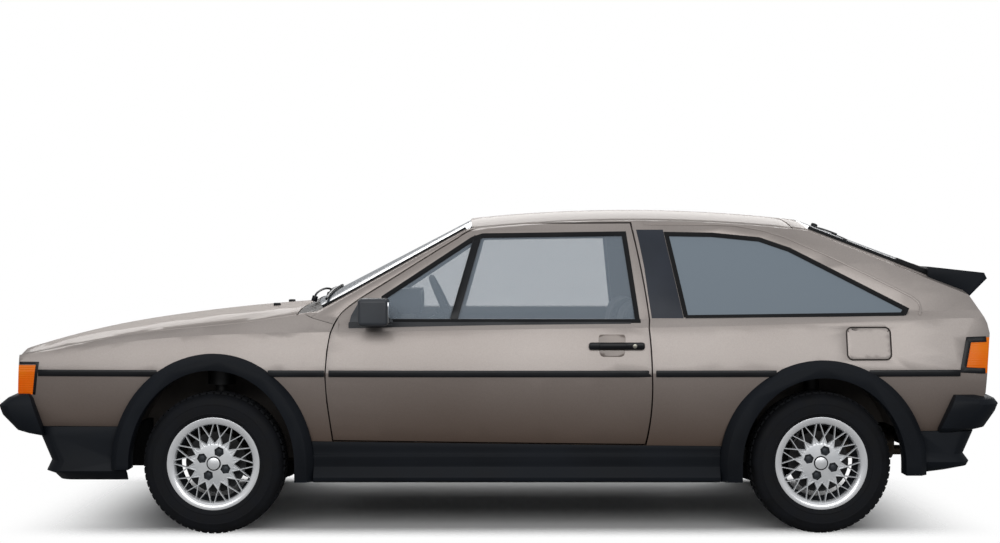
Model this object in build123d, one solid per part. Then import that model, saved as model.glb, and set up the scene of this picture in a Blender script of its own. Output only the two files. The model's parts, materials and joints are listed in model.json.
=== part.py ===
from build123d import *
import math
import os

# A two-door hatchback coupe. Millimetres, +Z up, nose towards -X, left side towards -Y,
# origin on the ground under the middle of the car.

# Overall sizes
LENGTH = 4050.0
WHEELBASE = 2400.0
FRONT_OVERHANG = 895.0
BODY_WIDTH = 1624.0
WIDTH_OVER_FLARES = 1645.0
ROOF_HEIGHT = 1300.0
NOSE_TAPER = 70.0
TAIL_TAPER = 60.0
WIDEST_X = 150.0
TRACK_FRONT = 1404.0
TRACK_REAR = 1372.0

# Wheels, 175/70 R13
TYRE_RADIUS = 280.0
TYRE_WIDTH = 175.0
TYRE_FLATS = 40
TREAD_WALL = 18.0
BEAD_FIT = 0.3
BEAD_RADIUS = 165.0
FLANGE_RADIUS = 183.0
RIM_WIDTH = 150.0
RIM_WALL = 6.0
HUB_RADIUS = 72.0
HUB_FACE = 38.0
HUB_THICK = 34.0
STUB_RADIUS = 28.0
STUB_SEAT = 12.0
BOLT_CIRCLE = 100.0
BOLT_HOLE_RADIUS = 7.0
BOLT_COUNT = 4
SPOKE_PAIRS = 16
SPOKE_THICK = 6.0
SPOKE_DEPTH = 16.0
SPOKE_SKEW = 25.6
SPOKE_CROSS = 105.0
SPOKE_FOOT = 45.0
SPOKE_FACE = -60.0
STAR_VALLEY = 76.0
STAR_DEPTH = 12.0
WELL_DEPTH = 16.0
DISC_Y = (-12.0, -2.0)
RUN_FIT = 0.05

# Panel sizes
SIDE_WALL = 62.0
PILLAR_WALL = 60.0
ROOF_WALL = 38.0
BONNET_WALL = 32.0
TAIL_WALL = 60.0
TUB_WALL = 8.0
RAIL_FRONT = -1895.0
RAIL_WIDTH = 60.0
RAIL_LOW = 340.0
RAIL_HIGH = 420.0
RAIL_FOOT = 70.0
NOSE_WALL = 70.0
GLASS_THICK = 5.0
PANEL_GAP = 6.0
REST_GAP = 0.3
BUFFER_SIZE = 18.0
BUFFER_Y = 560.0
NOSE_BUFFER_X = -1900.0
COWL_BUFFER_X = -829.0
FLOOR_TOP = 262.0
FLOOR_BOTTOM = 222.0
SILL_INNER = 690.0
WING_WALL = 28.0
CABIN_FRONT = -770.0
BULKHEAD_X = -830.0
STEP_X = 850.0
BOOT_FLOOR_TOP = 450.0
BOOT_FLOOR_BOTTOM = 415.0
DOOR_REAR_LEAN = 0.25

# Heights of the body side
SIDE_BOTTOM = 209.0
BELT_HEIGHT = 640.0
SKIRT_TUCK = 75.0
FLANK_LEAN = 0.225
LEDGE_IN = 43.0
LEDGE_UP = 30.0
TUMBLEHOME = 0.455
GLASS_BULGE = 9.0

# Windscreen, roof and hatch surfaces
SCREEN_POINT = (-333.0, 1152.0)
SCREEN_RAKE = 27.5
SCREEN_RADIUS = 3800.0
ROOF_PEAK_X = 555.0
ROOF_LENGTH_RADIUS = 6344.0
ROOF_CROWN_RADIUS = 2700.0
HATCH_POINT = (1554.0, 1158.5)
HATCH_RAKE = 20.5
HATCH_RADIUS = 2500.0

# Nose and tail plan curves
NOSE_FACE = -1974.0
TAIL_FACE = 1993.0
NOSE_PLAN_RADIUS = 4300.0
TAIL_PLAN_RADIUS = 5575.0
NOSE_SWING = 20.0
TAIL_SWING = 28.0

# Wheel arches and flares, as half-lengths and heights over the axle
ARCH_LIP = 18.0
FRONT_ARCH = (325.0, 371.0)
FRONT_FLARE = (397.0, 435.0)
REAR_ARCH = (320.0, 341.0)
REAR_FLARE = (405.0, 409.0)
WHEELHOUSE_FRONT = (358.0, 392.0)
WHEELHOUSE_REAR = (333.0, 362.0)
WHEELHOUSE_INNER = 440.0
REAR_WELL_INNER = 505.0
ARCH_EDGE_Y = 738.0

# Door frame and window openings
DOOR_FRAME = 28.0
SILL_WINDOW = 848.0
WINDOW = [(-466, 848), (-466, 935), (-112, 1170), (-70, 1184), (505, 1192), (548, 848)]
WINDOW_BAR = [(-196, 840), (-172, 840), (-76, 1190), (-100, 1190)]
QUARTER = [(737, 856), (672, 1191), (860, 1188), (1052, 1169), (1172, 1127), (1628, 888), (1612, 866)]
GLASS_DEPTH = 6.0

# Plan half-widths of the centre panels: bonnet, windscreen, roof, hatch
GLASSHOUSE = [(-900, 700), (-805, 700), (-760, 672), (-690, 655), (-118, 527), (500, 541), (1193, 550),
              (1890, 602), (2200, 602)]
SCREEN_FOOT = -705.0
SCREEN_FOOT_BOW = 75.0
SCREEN_HEAD = -112.0
SCREEN_HEAD_BOW = 14.0
HATCH_FRONT = 1196.0
HATCH_LOW = 786.0
HATCH_GLASS = (1262.0, 1790.0)
HATCH_FRAME = 42.0
REAR_PANEL_X = 1800.0
BONNET_REAR = -809.0

# Lamps, grille and filler
LAMP_DEPTH = 45.0
TAIL_LAMP = [(1860, 777), (1821, 656), (1860, 642), (2100, 620), (2100, 777)]
TAIL_LAMP_INNER = 330.0
INDICATOR = [(-2100, 668), (-1835, 668), (-1850, 551), (-2100, 551)]
INDICATOR_INNER = 655.0
GRILLE_HALF = 645.0
GRILLE_LOW = 546.0
GRILLE_HIGH = 650.0
GRILLE_DEPTH = 40.0
SLAT_COUNT = 6
SLAT_THICK = 5.0
SLAT_DEPTH = 24.0
HEADLAMPS = [(430.0, 628.0), (262.0, 414.0)]
HEADLAMP_DEPTH = 60.0
HEADLAMP_EDGE = 8.0
FLAP_X = (1372.0, 1543.0)
FLAP_Z = (692.0, 814.0)
FLAP_CORNER = 20.0
FLAP_THICK = 12.0
FLAP_POCKET = 45.0
FLAP_GAP = 5.0
FLAP_REST_IN = 30.0

# Bumpers and aprons: height, reach of the centre, half width, from the bottom up
BUMPER_CORNER = 48.0
REAR_BUMPER_CORNER = 110.0
REAR_BUMPER_END = [(1729, 390), (1731, 420), (1783, 536), (1800, 570), (2100, 570), (2100, 390)]
FRONT_BUMPER = [(391, -150, 772), (400, -112, 784), (413, -72, 790), (474, -14, 794), (511, 0, 795),
                (540, -34, 788), (555, -76, 780)]
FRONT_BUMPER_BACK = 1780.0
FRONT_BUMPER_END = [(-2100, 385), (-1797, 385), (-1800, 399), (-1847, 538), (-1862, 560), (-2100, 560)]
REAR_BUMPER = [(406, -110, 782), (423, -52, 800), (486, -12, 812), (517, 0, 814), (536, -14, 808),
               (552, -80, 796)]
REAR_BUMPER_BACK = 1700.0
APRON_CORNER = 70.0
APRON_WALL = 22.0
FRONT_APRON = [(214, 1835, 745), (240, 1850, 775), (253, 1878, 790), (292, 1862, 778), (390, 1905, 775),
               (426, 1905, 768)]
FRONT_APRON_BACK = 1440.0
REAR_APRON = [(238, 1750, 742), (254, 1850, 760), (270, 1922, 774), (288, 1930, 780), (318, 1909, 772),
              (408, 1948, 776)]
REAR_APRON_BACK = 1585.0
FRONT_BUMPER_SWEEP = 50.0
REAR_BUMPER_SWEEP = 60.0
FRONT_APRON_SWEEP = 95.0
REAR_APRON_SWEEP = 80.0
SKIRT = [(700, 380), (789, 380), (791, 320), (797, 315), (795, 270), (816, 233), (814, 216), (800, 211),
         (700, 211)]
SKIRT_X = (-760.0, 900.0)
SKIRT_TOP = [(-900, 372.4), (1100, 348.0)]
SPOILER = [(1770, 990), (1770, 1056), (1885, 1043), (1996, 1031), (2007, 1008), (1930, 930), (1890, 925)]
SPOILER_HALF = 596.0
FLARE_BEVEL = 26.0
FRONT_FLARE_FOOT = 262.0
REAR_FLARE_FOOT = 240.0

# Number plate screws
PLATE_HOLE_RADIUS = 3.0
FRONT_PLATE_SPACING = 300.0
FRONT_PLATE_Z = 505.0
REAR_PLATE_SPACING = 400.0
REAR_PLATE_Z = 700.0
FRONT_HOLE_DEPTH = 40.0
REAR_HOLE_DEPTH = 60.0

# Running gear
DISC_RADIUS = 120.0
CARRIER_HALF_X = 28.0
CARRIER_HALF_Y = 24.0
CARRIER_Z = (225.0, 335.0)
STUB_COLLAR = 12.0
STEER_ARM = 110.0
STEER_ARM_Z = (265.0, 285.0)
STRUT_RADIUS = 24.0
STRUT_CUP = 92.0
STRUT_CUP_RADIUS = 56.0
ARM_HEIGHT = 205.0
ARM_HALF = 12.0
MEMBER_HALF = 360.0
RACK_HALF = 430.0
RACK_RADIUS = 22.0
BEAM_RADIUS = 32.0
BEAM_AHEAD = 90.0
TRAIL_Z = (262.0, 322.0)
SHOCK_RADIUS = 30.0
ENGINE = (-1720.0, -1290.0, -330.0, 380.0, 300.0, 740.0)
EXHAUST_Y = 190.0
EXHAUST_RADIUS = 22.0
PIPE_Z = 186.0
SILENCER_Z = 250.0
SILENCER_RADIUS = 75.0
TAILPIPE_RADIUS = 22.0
TAILPIPE_Z = 212.0
TAILPIPE_END = 1962.0
TAILPIPE_BORE = 60.0
TAILPIPE_WALL = 3.0
SILENCER_X = (1420.0, 1780.0)
DOWNPIPE_IN = 40.0
HANGERS = [(1600.0, SILENCER_Z, BOOT_FLOOR_BOTTOM), (-290.0, PIPE_Z, FLOOR_BOTTOM)]

# Cabin
SEAT_Y = 340.0
SEAT_WIDTH = 500.0
WHEEL_CENTRE = (-215.0, -340.0, 850.0)
WHEEL_RADIUS = 185.0
WHEEL_TILT = 25.0
WHEEL_DISH = 40.0
WHEEL_SPOKES = (20, 160, 270)
GRIP_RADIUS = 12.0
HORN_RADIUS = 45.0
COLUMN_LENGTH = 230.0
COLUMN_RADIUS = 26.0
SEAT_CUSHION = [(-10, 368), (-10, 450), (40, 480), (440, 445), (470, 368)]
SEAT_BACK = [(400, 400), (470, 368), (520, 390), (640, 900), (620, 935), (560, 935), (535, 905)]
HEADREST_X = (600.0, 680.0)
HEADREST_Z = (930.0, 1075.0)
HEADREST_HALF = 125.0
BENCH_HALF = 485.0
BENCH_TOP = 560.0
BENCH_BACK = [(1130, 500), (1240, 500), (1300, 860), (1210, 870)]
FACIA = [(-766, 600), (-766, 830), (-700, 878), (-520, 905), (-425, 880), (-400, 760), (-480, 640)]
FACIA_HALF = 640.0
BINNACLE = (-470.0, -330.0, -490.0, -190.0, 860.0, 962.0)

# Door mirrors
MIRROR = (-549.0, -432.0, -925.0, -792.0, 829.0, 935.0)
MIRROR_FOOT = (-535.0, -462.0, -800.0, -690.0, 838.0, 900.0)
MIRROR_SAIL = [(-597, 838), (-592, 862), (-562, 916), (-480, 922), (-426, 842), (-426, 826), (-585, 824)]
SAIL_THICK = 10.0
MIRROR_CORNER = 16.0

# Steering pins
KINGPIN_Y = 585.0
KINGPIN_RADIUS = 13.0

FRONT_AXLE_X = -LENGTH / 2 + FRONT_OVERHANG
REAR_AXLE_X = FRONT_AXLE_X + WHEELBASE
NOSE_X = -LENGTH / 2
TAIL_X = LENGTH / 2
HALF_BODY = BODY_WIDTH / 2
HALF_FLARES = WIDTH_OVER_FLARES / 2
BIG = 3000.0

# Height of the shoulder crease along the car
SHOULDER = [(-2060, 672), (-1900, 708), (-1750, 728), (-1500, 757), (-1250, 780), (-1000, 792),
            (-640, 799), (0, 809), (600, 817), (1200, 831), (1700, 848), (2080, 864)]

# Bonnet: station, height on the centre line, at the crease and at the wing joint
BONNET_CREASE_Y = 550.0
BONNET_JOINT_Y = 700.0
BONNET = [(-2060, 690, 678, 668), (-1900, 743, 729, 706), (-1750, 782, 762, 737),
          (-1500, 828, 806, 784), (-1250, 861, 841, 813), (-1000, 886, 868, 839),
          (-640, 915, 893, 862)]

NOSE_PROFILE = [(-1900, 1500), (-1905, 800), (-1957, 741), (-1966, 728), (-1970, 700), (-1974, 560),
                (-1955, 500), (-1890, 440), (-1845, 400), (-1780, 215), (-1770, 100)]
TAIL_PROFILE = [(1600, 1400), (1850, 1035), (1928, 936), (1962, 883), (1985, 832), (1993, 793),
                (1980, 661), (1972, 560), (1940, 480), (1880, 400), (1840, 300), (1830, 100)]

DOOR_FRONT = [(-659, 372), (-680, 525), (-687, 625), (-681, 725), (-670, 793), (-658, 826)]
DOOR_PILLAR = [(-658, 826), (-636, 865), (-588, 908), (-540, 941), (-442, 1002), (-343, 1065), (-243, 1128),
               (-168, 1174)]
DOOR_HEAD = [(-168, 1174), (-117, 1204), (-66, 1220), (-15, 1228), (81, 1232)]
DOOR_REAR = [(534, 1234), (568, 1053), (592, 847), (601, 651), (571, 357)]

WING_REAR = [(-805, 905), (-790, 872), (-746, 852), (-658, 828)]


def along(table, x, column=1):
    """Value of a table column at station x, straight between its rows."""
    for low, high in zip(table, table[1:]):
        if x <= high[0]:
            break
    t = (x - low[0]) / (high[0] - low[0])
    return low[column] + t * (high[column] - low[column])


def half_width(x):
    """Half width of the body at the belt line."""
    reach = (WIDEST_X - NOSE_X) if x < WIDEST_X else (TAIL_X - WIDEST_X)
    taper = NOSE_TAPER if x < WIDEST_X else TAIL_TAPER
    return HALF_BODY - taper * (abs(x - WIDEST_X) / reach) ** 2.2


def polygon(points, plane):
    """Face inside a closed polyline drawn on a plane."""
    return plane * make_face(Polyline(*points, close=True))


def side_plane(y):
    """Plane whose first axis is X and second axis is Z, at a given Y."""
    return Plane(origin=(0, y, 0), x_dir=(1, 0, 0), z_dir=(0, -1, 0))


def side_prism(points, y_low, y_high):
    """Side-view outline drawn in X and Z, extruded between two Y values."""
    face = polygon(points, side_plane(y_high))
    return extrude(face, y_high - y_low)


def top_prism(points, z_low, z_high):
    """Plan-view outline drawn in X and Y, extruded between two heights."""
    face = polygon(points, Plane.XY.offset(z_low))
    return extrude(face, z_high - z_low)


def block(x_low, x_high, y_low, y_high, z_low, z_high):
    """Box given by its six limits."""
    size = (x_high - x_low, y_high - y_low, z_high - z_low)
    middle = ((x_low + x_high) / 2, (y_low + y_high) / 2, (z_low + z_high) / 2)
    return Pos(*middle) * Box(*size)


def tube_y(x, y_low, y_high, z, radius):
    """Cylinder along Y."""
    return Pos(x, (y_low + y_high) / 2, z) * Rot(90, 0, 0) * Cylinder(radius, y_high - y_low)


def tube_z(x, y, z_low, z_high, radius):
    """Cylinder along Z."""
    return Pos(x, y, (z_low + z_high) / 2) * Cylinder(radius, z_high - z_low)


def rod(start, end, radius):
    """Round bar between two points."""
    a, b = Vector(*start), Vector(*end)
    return Part() + Solid.make_cylinder(radius, (b - a).length, Plane(origin=a, z_dir=b - a))


def mirror_y(shape):
    """The same piece on the other side of the car."""
    return mirror(shape, Plane.XZ)


def half_arc(a, b, bulge):
    """Arc from a to b in one cross-section, bowed away from the centre line."""
    side = 1 if a.Y > 0 else -1
    return ThreePointArc(a, (a + b) / 2 + Vector(0, side * bulge, 0), b)


def closed_section(x, points, bulges):
    """Closed cross-section at station x from its right-hand points, mirrored to the left."""
    right = [Vector(x, y, z) for y, z in points]
    left = [Vector(x, -y, z) for y, z in points]
    edges = [Line(left[0], right[0])]
    for a, b, bulge in zip(right, right[1:], bulges):
        edges.append(half_arc(a, b, bulge) if bulge else Line(a, b))
    edges.append(Line(right[-1], left[-1]))
    for a, b, bulge in zip(left[::-1], left[-2::-1], bulges[::-1]):
        edges.append(half_arc(a, b, bulge) if bulge else Line(a, b))
    return Wire(edges)


def side_solid(inset):
    """Body bounded by its flanks from the sill to above the shoulder."""
    sections = []
    for x, crease in SHOULDER:
        w = half_width(x) - inset
        top = ROOF_HEIGHT + 150
        points = [(w - SKIRT_TUCK, 120), (w, BELT_HEIGHT), (w - FLANK_LEAN * (crease - BELT_HEIGHT), crease),
                  (w - FLANK_LEAN * (top - BELT_HEIGHT), top)]
        sections.append(closed_section(x, points, (14, 3, 0)))
    return Solid.make_loft(sections, False)


def cabin_sides(inset):
    """Shoulder ledge and tumblehome of the glasshouse."""
    sections = []
    for x, crease in SHOULDER[3:]:
        w = half_width(x) - FLANK_LEAN * (crease - BELT_HEIGHT)
        ledge = (w - LEDGE_IN - inset, crease + LEDGE_UP - inset * 0.35)
        rise = ROOF_HEIGHT + 120 - ledge[1]
        outer = (ledge[0] + 3 * LEDGE_IN, ledge[1] - 3 * LEDGE_UP)
        points = [(outer[0], 100), outer, ledge, (ledge[0] - TUMBLEHOME * rise, ledge[1] + rise)]
        sections.append(closed_section(x, points, (0, 0, GLASS_BULGE * 2)))
    return Solid.make_loft(sections, False)


def slope_solid(point, rake, radius, inset, forward):
    """Half-space under a raked, cross-curved glass surface."""
    angle = math.radians(rake)
    along_slope = Vector(forward * math.cos(angle), 0, math.sin(angle))
    normal = Vector(-forward * math.sin(angle), 0, math.cos(angle))
    on_surface = Vector(point[0], 0, point[1]) - normal * inset
    start = on_surface - normal * radius - along_slope * BIG
    return Solid.make_cylinder(radius, 2 * BIG, Plane(origin=start, z_dir=along_slope))


def roof_solid(inset):
    """Doubly curved roof, arched along the car and across it."""
    top = ROOF_HEIGHT - inset
    half = 900.0
    drop = ROOF_CROWN_RADIUS - math.sqrt(ROOF_CROWN_RADIUS ** 2 - half ** 2)
    crown = ThreePointArc((ROOF_PEAK_X, -half, top - drop), (ROOF_PEAK_X, 0, top),
                          (ROOF_PEAK_X, half, top - drop))
    rest = Polyline((ROOF_PEAK_X, half, top - drop), (ROOF_PEAK_X, half, -BIG / 2),
                    (ROOF_PEAK_X, -half, -BIG / 2), (ROOF_PEAK_X, -half, top - drop))
    section = Face(Wire(crown.edges() + rest.edges()))
    axis = Axis((ROOF_PEAK_X, 0, ROOF_HEIGHT - ROOF_LENGTH_RADIUS), (0, 1, 0))
    return revolve(section.rotate(axis, -35), axis, 70)


def swept_end(profile, plan_radius, front, inset=0.0):
    """End of the body: a side-view profile turned about a distant upright axis."""
    shift = inset if front else -inset
    centre = NOSE_FACE + plan_radius if front else TAIL_FACE - plan_radius
    far = 2200.0 if front else -2200.0
    points = [(x + shift, z) for x, z in profile]
    points += [(far, points[-1][1]), (far, points[0][1])]
    face = polygon(points, side_plane(0))
    axis = Axis((centre, 0, 0), (0, 0, 1))
    swing = NOSE_SWING if front else TAIL_SWING
    return revolve(face.rotate(axis, -swing), axis, 2 * swing)


def bonnet_solid(inset):
    """Everything under the bonnet and wing tops, back to the foot of the windscreen."""
    sections = []
    for x, centre, crease, joint in BONNET:
        shoulder = along(SHOULDER, x)
        w = half_width(x) - FLANK_LEAN * (shoulder - BELT_HEIGHT)
        fall = (joint - shoulder) / (w - BONNET_JOINT_Y)
        edge = 900.0
        points = [(edge, 80), (edge, shoulder - fall * (edge - w)), (BONNET_JOINT_Y, joint),
                  (BONNET_CREASE_Y, crease)]
        points = [(y, z - inset) if i else (y, z) for i, (y, z) in enumerate(points)]
        right = [Vector(x, y, z) for y, z in points]
        left = [Vector(x, -y, z) for y, z in points]
        edges = [Line(left[0], right[0])]
        edges += [Line(a, b) for a, b in zip(right, right[1:])]
        edges.append(ThreePointArc(right[-1], Vector(x, 0, centre - inset), left[-1]))
        edges += [Line(a, b) for a, b in zip(left[::-1], left[-2::-1])]
        sections.append(Wire(edges))
    return Solid.make_loft(sections, False)


def cabin_solid(sides, screen, roof, tail):
    """Glasshouse bounded by its sides, windscreen, roof, hatch and tail."""
    shape = Part() + cabin_sides(sides)
    shape &= slope_solid(SCREEN_POINT, SCREEN_RAKE, SCREEN_RADIUS, screen, 1)
    shape &= roof_solid(roof)
    shape &= slope_solid(HATCH_POINT, HATCH_RAKE, HATCH_RADIUS, roof, -1)
    return shape & swept_end(TAIL_PROFILE, TAIL_PLAN_RADIUS, False, tail)


def arch_outline(axle_x, reach, grow=0.0):
    """Arch in side view: half an ellipse over the axle with straight legs below."""
    half, height = reach[0] + grow, reach[1] + grow
    z = TYRE_RADIUS
    low = z - 200.0
    top = EllipticalCenterArc((axle_x, z), half, height, start_angle=0, arc_size=180)
    legs = Polyline((axle_x - half, z), (axle_x - half, low), (axle_x + half, low), (axle_x + half, z))
    return make_face(top.edges() + legs.edges())


def arch_prism(axle_x, reach, y_low, y_high, grow=0.0):
    """Arch outline extruded between two Y values."""
    face = side_plane(y_high) * arch_outline(axle_x, reach, grow)
    return extrude(face, y_high - y_low)


def both_sides(shape):
    """A left-hand piece and its mirror image, as one node."""
    return Compound(children=list(shape.solids()) + list(mirror_y(shape).solids()))


def largest(shape, count=1):
    """The main solids of a cut piece, without offcuts."""
    solids = sorted(shape.solids(), key=lambda s: -s.volume)[:count]
    return solids[0] if count == 1 else Compound(children=solids)


def save(name, shape):
    """Write one node."""
    nodes[name] = shape
    export_step(shape, f"parts/{name}.step")


def plan_polygon(front_x, rear_x, points, z_low=SIDE_BOTTOM - 50, z_high=ROOF_HEIGHT + 200):
    """Symmetric plan-view prism between two stations of a half-width table."""
    inner = [(x, y) for x, y in points if front_x < x < rear_x]
    right = [(front_x, along(points, front_x))] + inner + [(rear_x, along(points, rear_x))]
    left = [(x, -y) for x, y in reversed(right)]
    return top_prism(right + left, z_low, z_high)


def plan_face(sign, tip, half, corner, sweep, back, z):
    """Plan outline of a bumper or apron: a bowed front with rounded corners."""
    bow = ThreePointArc((sign * (tip - sweep), -half), (sign * tip, 0), (sign * (tip - sweep), half))
    rest = Polyline((sign * (tip - sweep), half), (sign * back, half), (sign * back, -half),
                    (sign * (tip - sweep), -half))
    face = Plane.XY.offset(z) * make_face(bow.edges() + rest.edges())
    corners = [v for v in face.vertices() if abs(v.X - sign * back) > 1]
    return fillet(corners, corner).faces()[0]


def plan_band(sign, levels, corner, sweep, back):
    """Solid through plan outlines given as (height, tip, half-width), bottom to top."""
    shape = Part()
    for low, high in zip(levels, levels[1:]):
        faces = [plan_face(sign, tip, half, corner, sweep, back, z) for z, tip, half in (low, high)]
        shape += loft(faces, ruled=True)
    return shape


def door_face(y, gap):
    """Door outline on an upright plane; its rear edge leans so that it swings clear."""
    rear = [(x + gap + DOOR_REAR_LEAN * (skin_y(z) - y), z + (gap if z > 1200 else 0))
            for x, z in DOOR_REAR]
    low = DOOR_REAR[-1][1] - gap
    rear[-1] = (rear[-1][0], low)
    front = [(x - gap, z) for x, z in DOOR_FRONT]
    front[0] = (front[0][0], DOOR_FRONT[0][1] - gap)
    pillar = [(x - gap * 0.6, z + gap * 0.8) for x, z in DOOR_PILLAR]
    pillar[0] = front[-1]
    head = [(x - gap * 0.5, z + gap * 0.9) for x, z in DOOR_HEAD]
    head[0] = pillar[-1]
    head[-1] = (DOOR_HEAD[-1][0], DOOR_HEAD[-1][1] + gap)
    edges = [Spline(*front), Spline(*pillar), Spline(*head), Line(head[-1], rear[0]),
             Spline(*rear), Line(rear[-1], front[0])]
    return side_plane(-y) * Face(Wire([e.edge() for e in edges]))


def skin_y(z):
    """Half width of the car's skin at mid-length for a height."""
    crease = along(SHOULDER, WIDEST_X)
    ledge_z = crease + LEDGE_UP
    ledge_y = HALF_BODY - FLANK_LEAN * (crease - BELT_HEIGHT) - LEDGE_IN
    return HALF_BODY - 20 if z < ledge_z else ledge_y - TUMBLEHOME * (z - ledge_z) + 6


def door_prism(gap):
    """Solid through the whole door, with its rear edge narrowing inwards."""
    return loft([door_face(900, gap), door_face(400, gap)], ruled=True)


nodes = {}
os.makedirs("parts", exist_ok=True)

# Body envelope and the spaces inside it
outer_side = Part() + side_solid(0)
outer_cabin = cabin_solid(0, 0, 0, 0)
nose_end = swept_end(NOSE_PROFILE, NOSE_PLAN_RADIUS, True)
outer_front = (Part() + bonnet_solid(0)) & nose_end
outer = (outer_cabin + outer_front) & outer_side
outer &= block(-BIG, BIG, -BIG, BIG, SIDE_BOTTOM, BIG)
under_side = Part() + side_solid(SIDE_WALL)
cabin_space = cabin_solid(PILLAR_WALL, ROOF_WALL, ROOF_WALL, TAIL_WALL) & under_side
cabin_space &= (block(CABIN_FRONT, STEP_X, -BIG, BIG, FLOOR_TOP, BIG)
                + block(STEP_X, BIG, -BIG, BIG, BOOT_FLOOR_TOP, BIG))
under_bonnet = (Part() + bonnet_solid(BONNET_WALL)) & side_solid(WING_WALL)
bay_space = under_bonnet & swept_end(NOSE_PROFILE, NOSE_PLAN_RADIUS, True, NOSE_WALL)
bay_space &= block(-BIG, BULKHEAD_X, -BIG, BIG, 0, BIG)
under_boot = under_side & block(STEP_X + 40, TAIL_X - 200, -SILL_INNER, SILL_INNER, 0, BOOT_FLOOR_BOTTOM)
front_well = arch_prism(FRONT_AXLE_X, WHEELHOUSE_FRONT, -ARCH_EDGE_Y, -WHEELHOUSE_INNER)
front_well += arch_prism(FRONT_AXLE_X, FRONT_ARCH, -HALF_BODY - 100, -ARCH_EDGE_Y + 1, ARCH_LIP)
rear_well = arch_prism(REAR_AXLE_X, WHEELHOUSE_REAR, -ARCH_EDGE_Y, -REAR_WELL_INNER)
rear_well += arch_prism(REAR_AXLE_X, REAR_ARCH, -HALF_BODY - 100, -ARCH_EDGE_Y + 1, ARCH_LIP)
wells = front_well + rear_well
wells += mirror_y(wells)
shell = outer - cabin_space - bay_space - under_boot - wells

# Zones that share the shell out among its panels
joint = PANEL_GAP / 2
rail_inside = (Part() + cabin_sides(DOOR_FRAME + PANEL_GAP)) & block(-BIG, BIG, -BIG, BIG, SILL_WINDOW, BIG)
door_inside = (Part() + cabin_sides(DOOR_FRAME)) & block(-BIG, BIG, -BIG, BIG, SILL_WINDOW, BIG)
left_half = block(-BIG, BIG, -BIG, 0, 0, BIG)
door_window = side_prism(WINDOW, -HALF_BODY - 100, -200)
door_hole = (door_prism(joint) - rail_inside) + door_window
core = plan_polygon(GLASSHOUSE[0][0], TAIL_X + 100, GLASSHOUSE)
core_gap = plan_polygon(GLASSHOUSE[0][0], TAIL_X + 100, [(x, y - PANEL_GAP) for x, y in GLASSHOUSE])
floor_zone = block(CABIN_FRONT, TAIL_X, -SILL_INNER, SILL_INNER, 0, BOOT_FLOOR_TOP + 1)
wing_edge = [(NOSE_X - 100, 0), (NOSE_X - 100, 1000), (WING_REAR[0][0], 1000)] + WING_REAR
wing_edge += DOOR_FRONT[-2::-1] + [(DOOR_FRONT[0][0], 0)]
wing_zone = side_prism(wing_edge, -HALF_BODY - 100, -BONNET_JOINT_Y)
under_lamp = side_solid(LAMP_DEPTH)

# Lamps let into the corners
tail_lamp = side_prism(TAIL_LAMP, -HALF_BODY - 100, -TAIL_LAMP_INNER) & outer
tail_lamp -= under_lamp & swept_end(TAIL_PROFILE, TAIL_PLAN_RADIUS, False, LAMP_DEPTH)
indicator = side_prism(INDICATOR, -HALF_BODY - 100, -INDICATOR_INNER) & outer
indicator -= under_lamp & swept_end(NOSE_PROFILE, NOSE_PLAN_RADIUS, True, LAMP_DEPTH)
lamps = tail_lamp + indicator
lamps += mirror_y(lamps)
save("tail_lamps", both_sides(tail_lamp))
save("indicators", both_sides(indicator))
panels = shell - lamps

# Doors and what they carry
door_shape = (panels & door_prism(-joint) & left_half) - door_inside - door_window
bar = side_prism(WINDOW_BAR, -HALF_BODY - 100, -200) & outer_cabin
bar -= cabin_sides(DOOR_FRAME)
door_left = largest(door_shape + bar)
pane = (Part() + cabin_sides(GLASS_DEPTH)) - cabin_sides(GLASS_DEPTH + GLASS_THICK)
door_glass = (pane & door_window) - bar
save("door_left", door_left)
save("door_right", mirror_y(door_left))
save("door_glass_left", largest(door_glass, 2))
save("door_glass_right", mirror_y(largest(door_glass, 2)))
quarter = side_prism(QUARTER, -HALF_BODY - 100, -200)
quarter_glass = largest(pane & quarter)
save("quarter_glass", both_sides(quarter_glass))

# Fuel flap, set in a shallow pocket of the left rear quarter
flap_middle = (sum(FLAP_X) / 2, sum(FLAP_Z) / 2)
flap_size = (FLAP_X[1] - FLAP_X[0], FLAP_Z[1] - FLAP_Z[0])


def flap_prism(grow, y_low):
    """Rounded side-view outline of the filler opening."""
    face = side_plane(y_low + 400) * (Pos(*flap_middle) * RectangleRounded(
        flap_size[0] + 2 * grow, flap_size[1] + 2 * grow, FLAP_CORNER + grow))
    return extrude(face, 400)


flap = (flap_prism(0, -HALF_BODY - 100) & outer) - side_solid(FLAP_THICK)
flap_pocket = flap_prism(FLAP_GAP, -HALF_BODY - 100) - side_solid(FLAP_POCKET)
flap_rests = [Pos(x, 0, flap_middle[1]) * Box(BUFFER_SIZE, BIG, BUFFER_SIZE)
              for x in (FLAP_X[0] + FLAP_REST_IN, FLAP_X[1] - FLAP_REST_IN)]
flap_pocket -= (flap_rests[0] + flap_rests[1]) & side_solid(FLAP_THICK + REST_GAP)
save("fuel_flap", largest(flap))

# Fixed body sides, each from the windscreen pillar to the tail
wing_core = side_solid(WING_WALL) & bonnet_solid(WING_WALL)
wing_hole = Pos(joint, 0, 0) * wing_zone - wing_core
front_hull = plan_band(-1, FRONT_APRON, APRON_CORNER, FRONT_APRON_SWEEP, FRONT_APRON_BACK)
rear_hull = plan_band(1, REAR_APRON, APRON_CORNER, REAR_APRON_SWEEP, REAR_APRON_BACK)
hulls = front_hull + rear_hull
side_frame = (panels & left_half & block(BULKHEAD_X, BIG, -BIG, 0, 0, BIG)) - core
side_frame -= floor_zone & block(-BIG, REAR_PANEL_X, -BIG, BIG, 0, BIG)
side_frame = side_frame - wing_hole - door_hole - quarter - hulls
save("side_frame_right", mirror_y(largest(side_frame)))
save("side_frame_left", largest(side_frame - flap_pocket))

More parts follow.
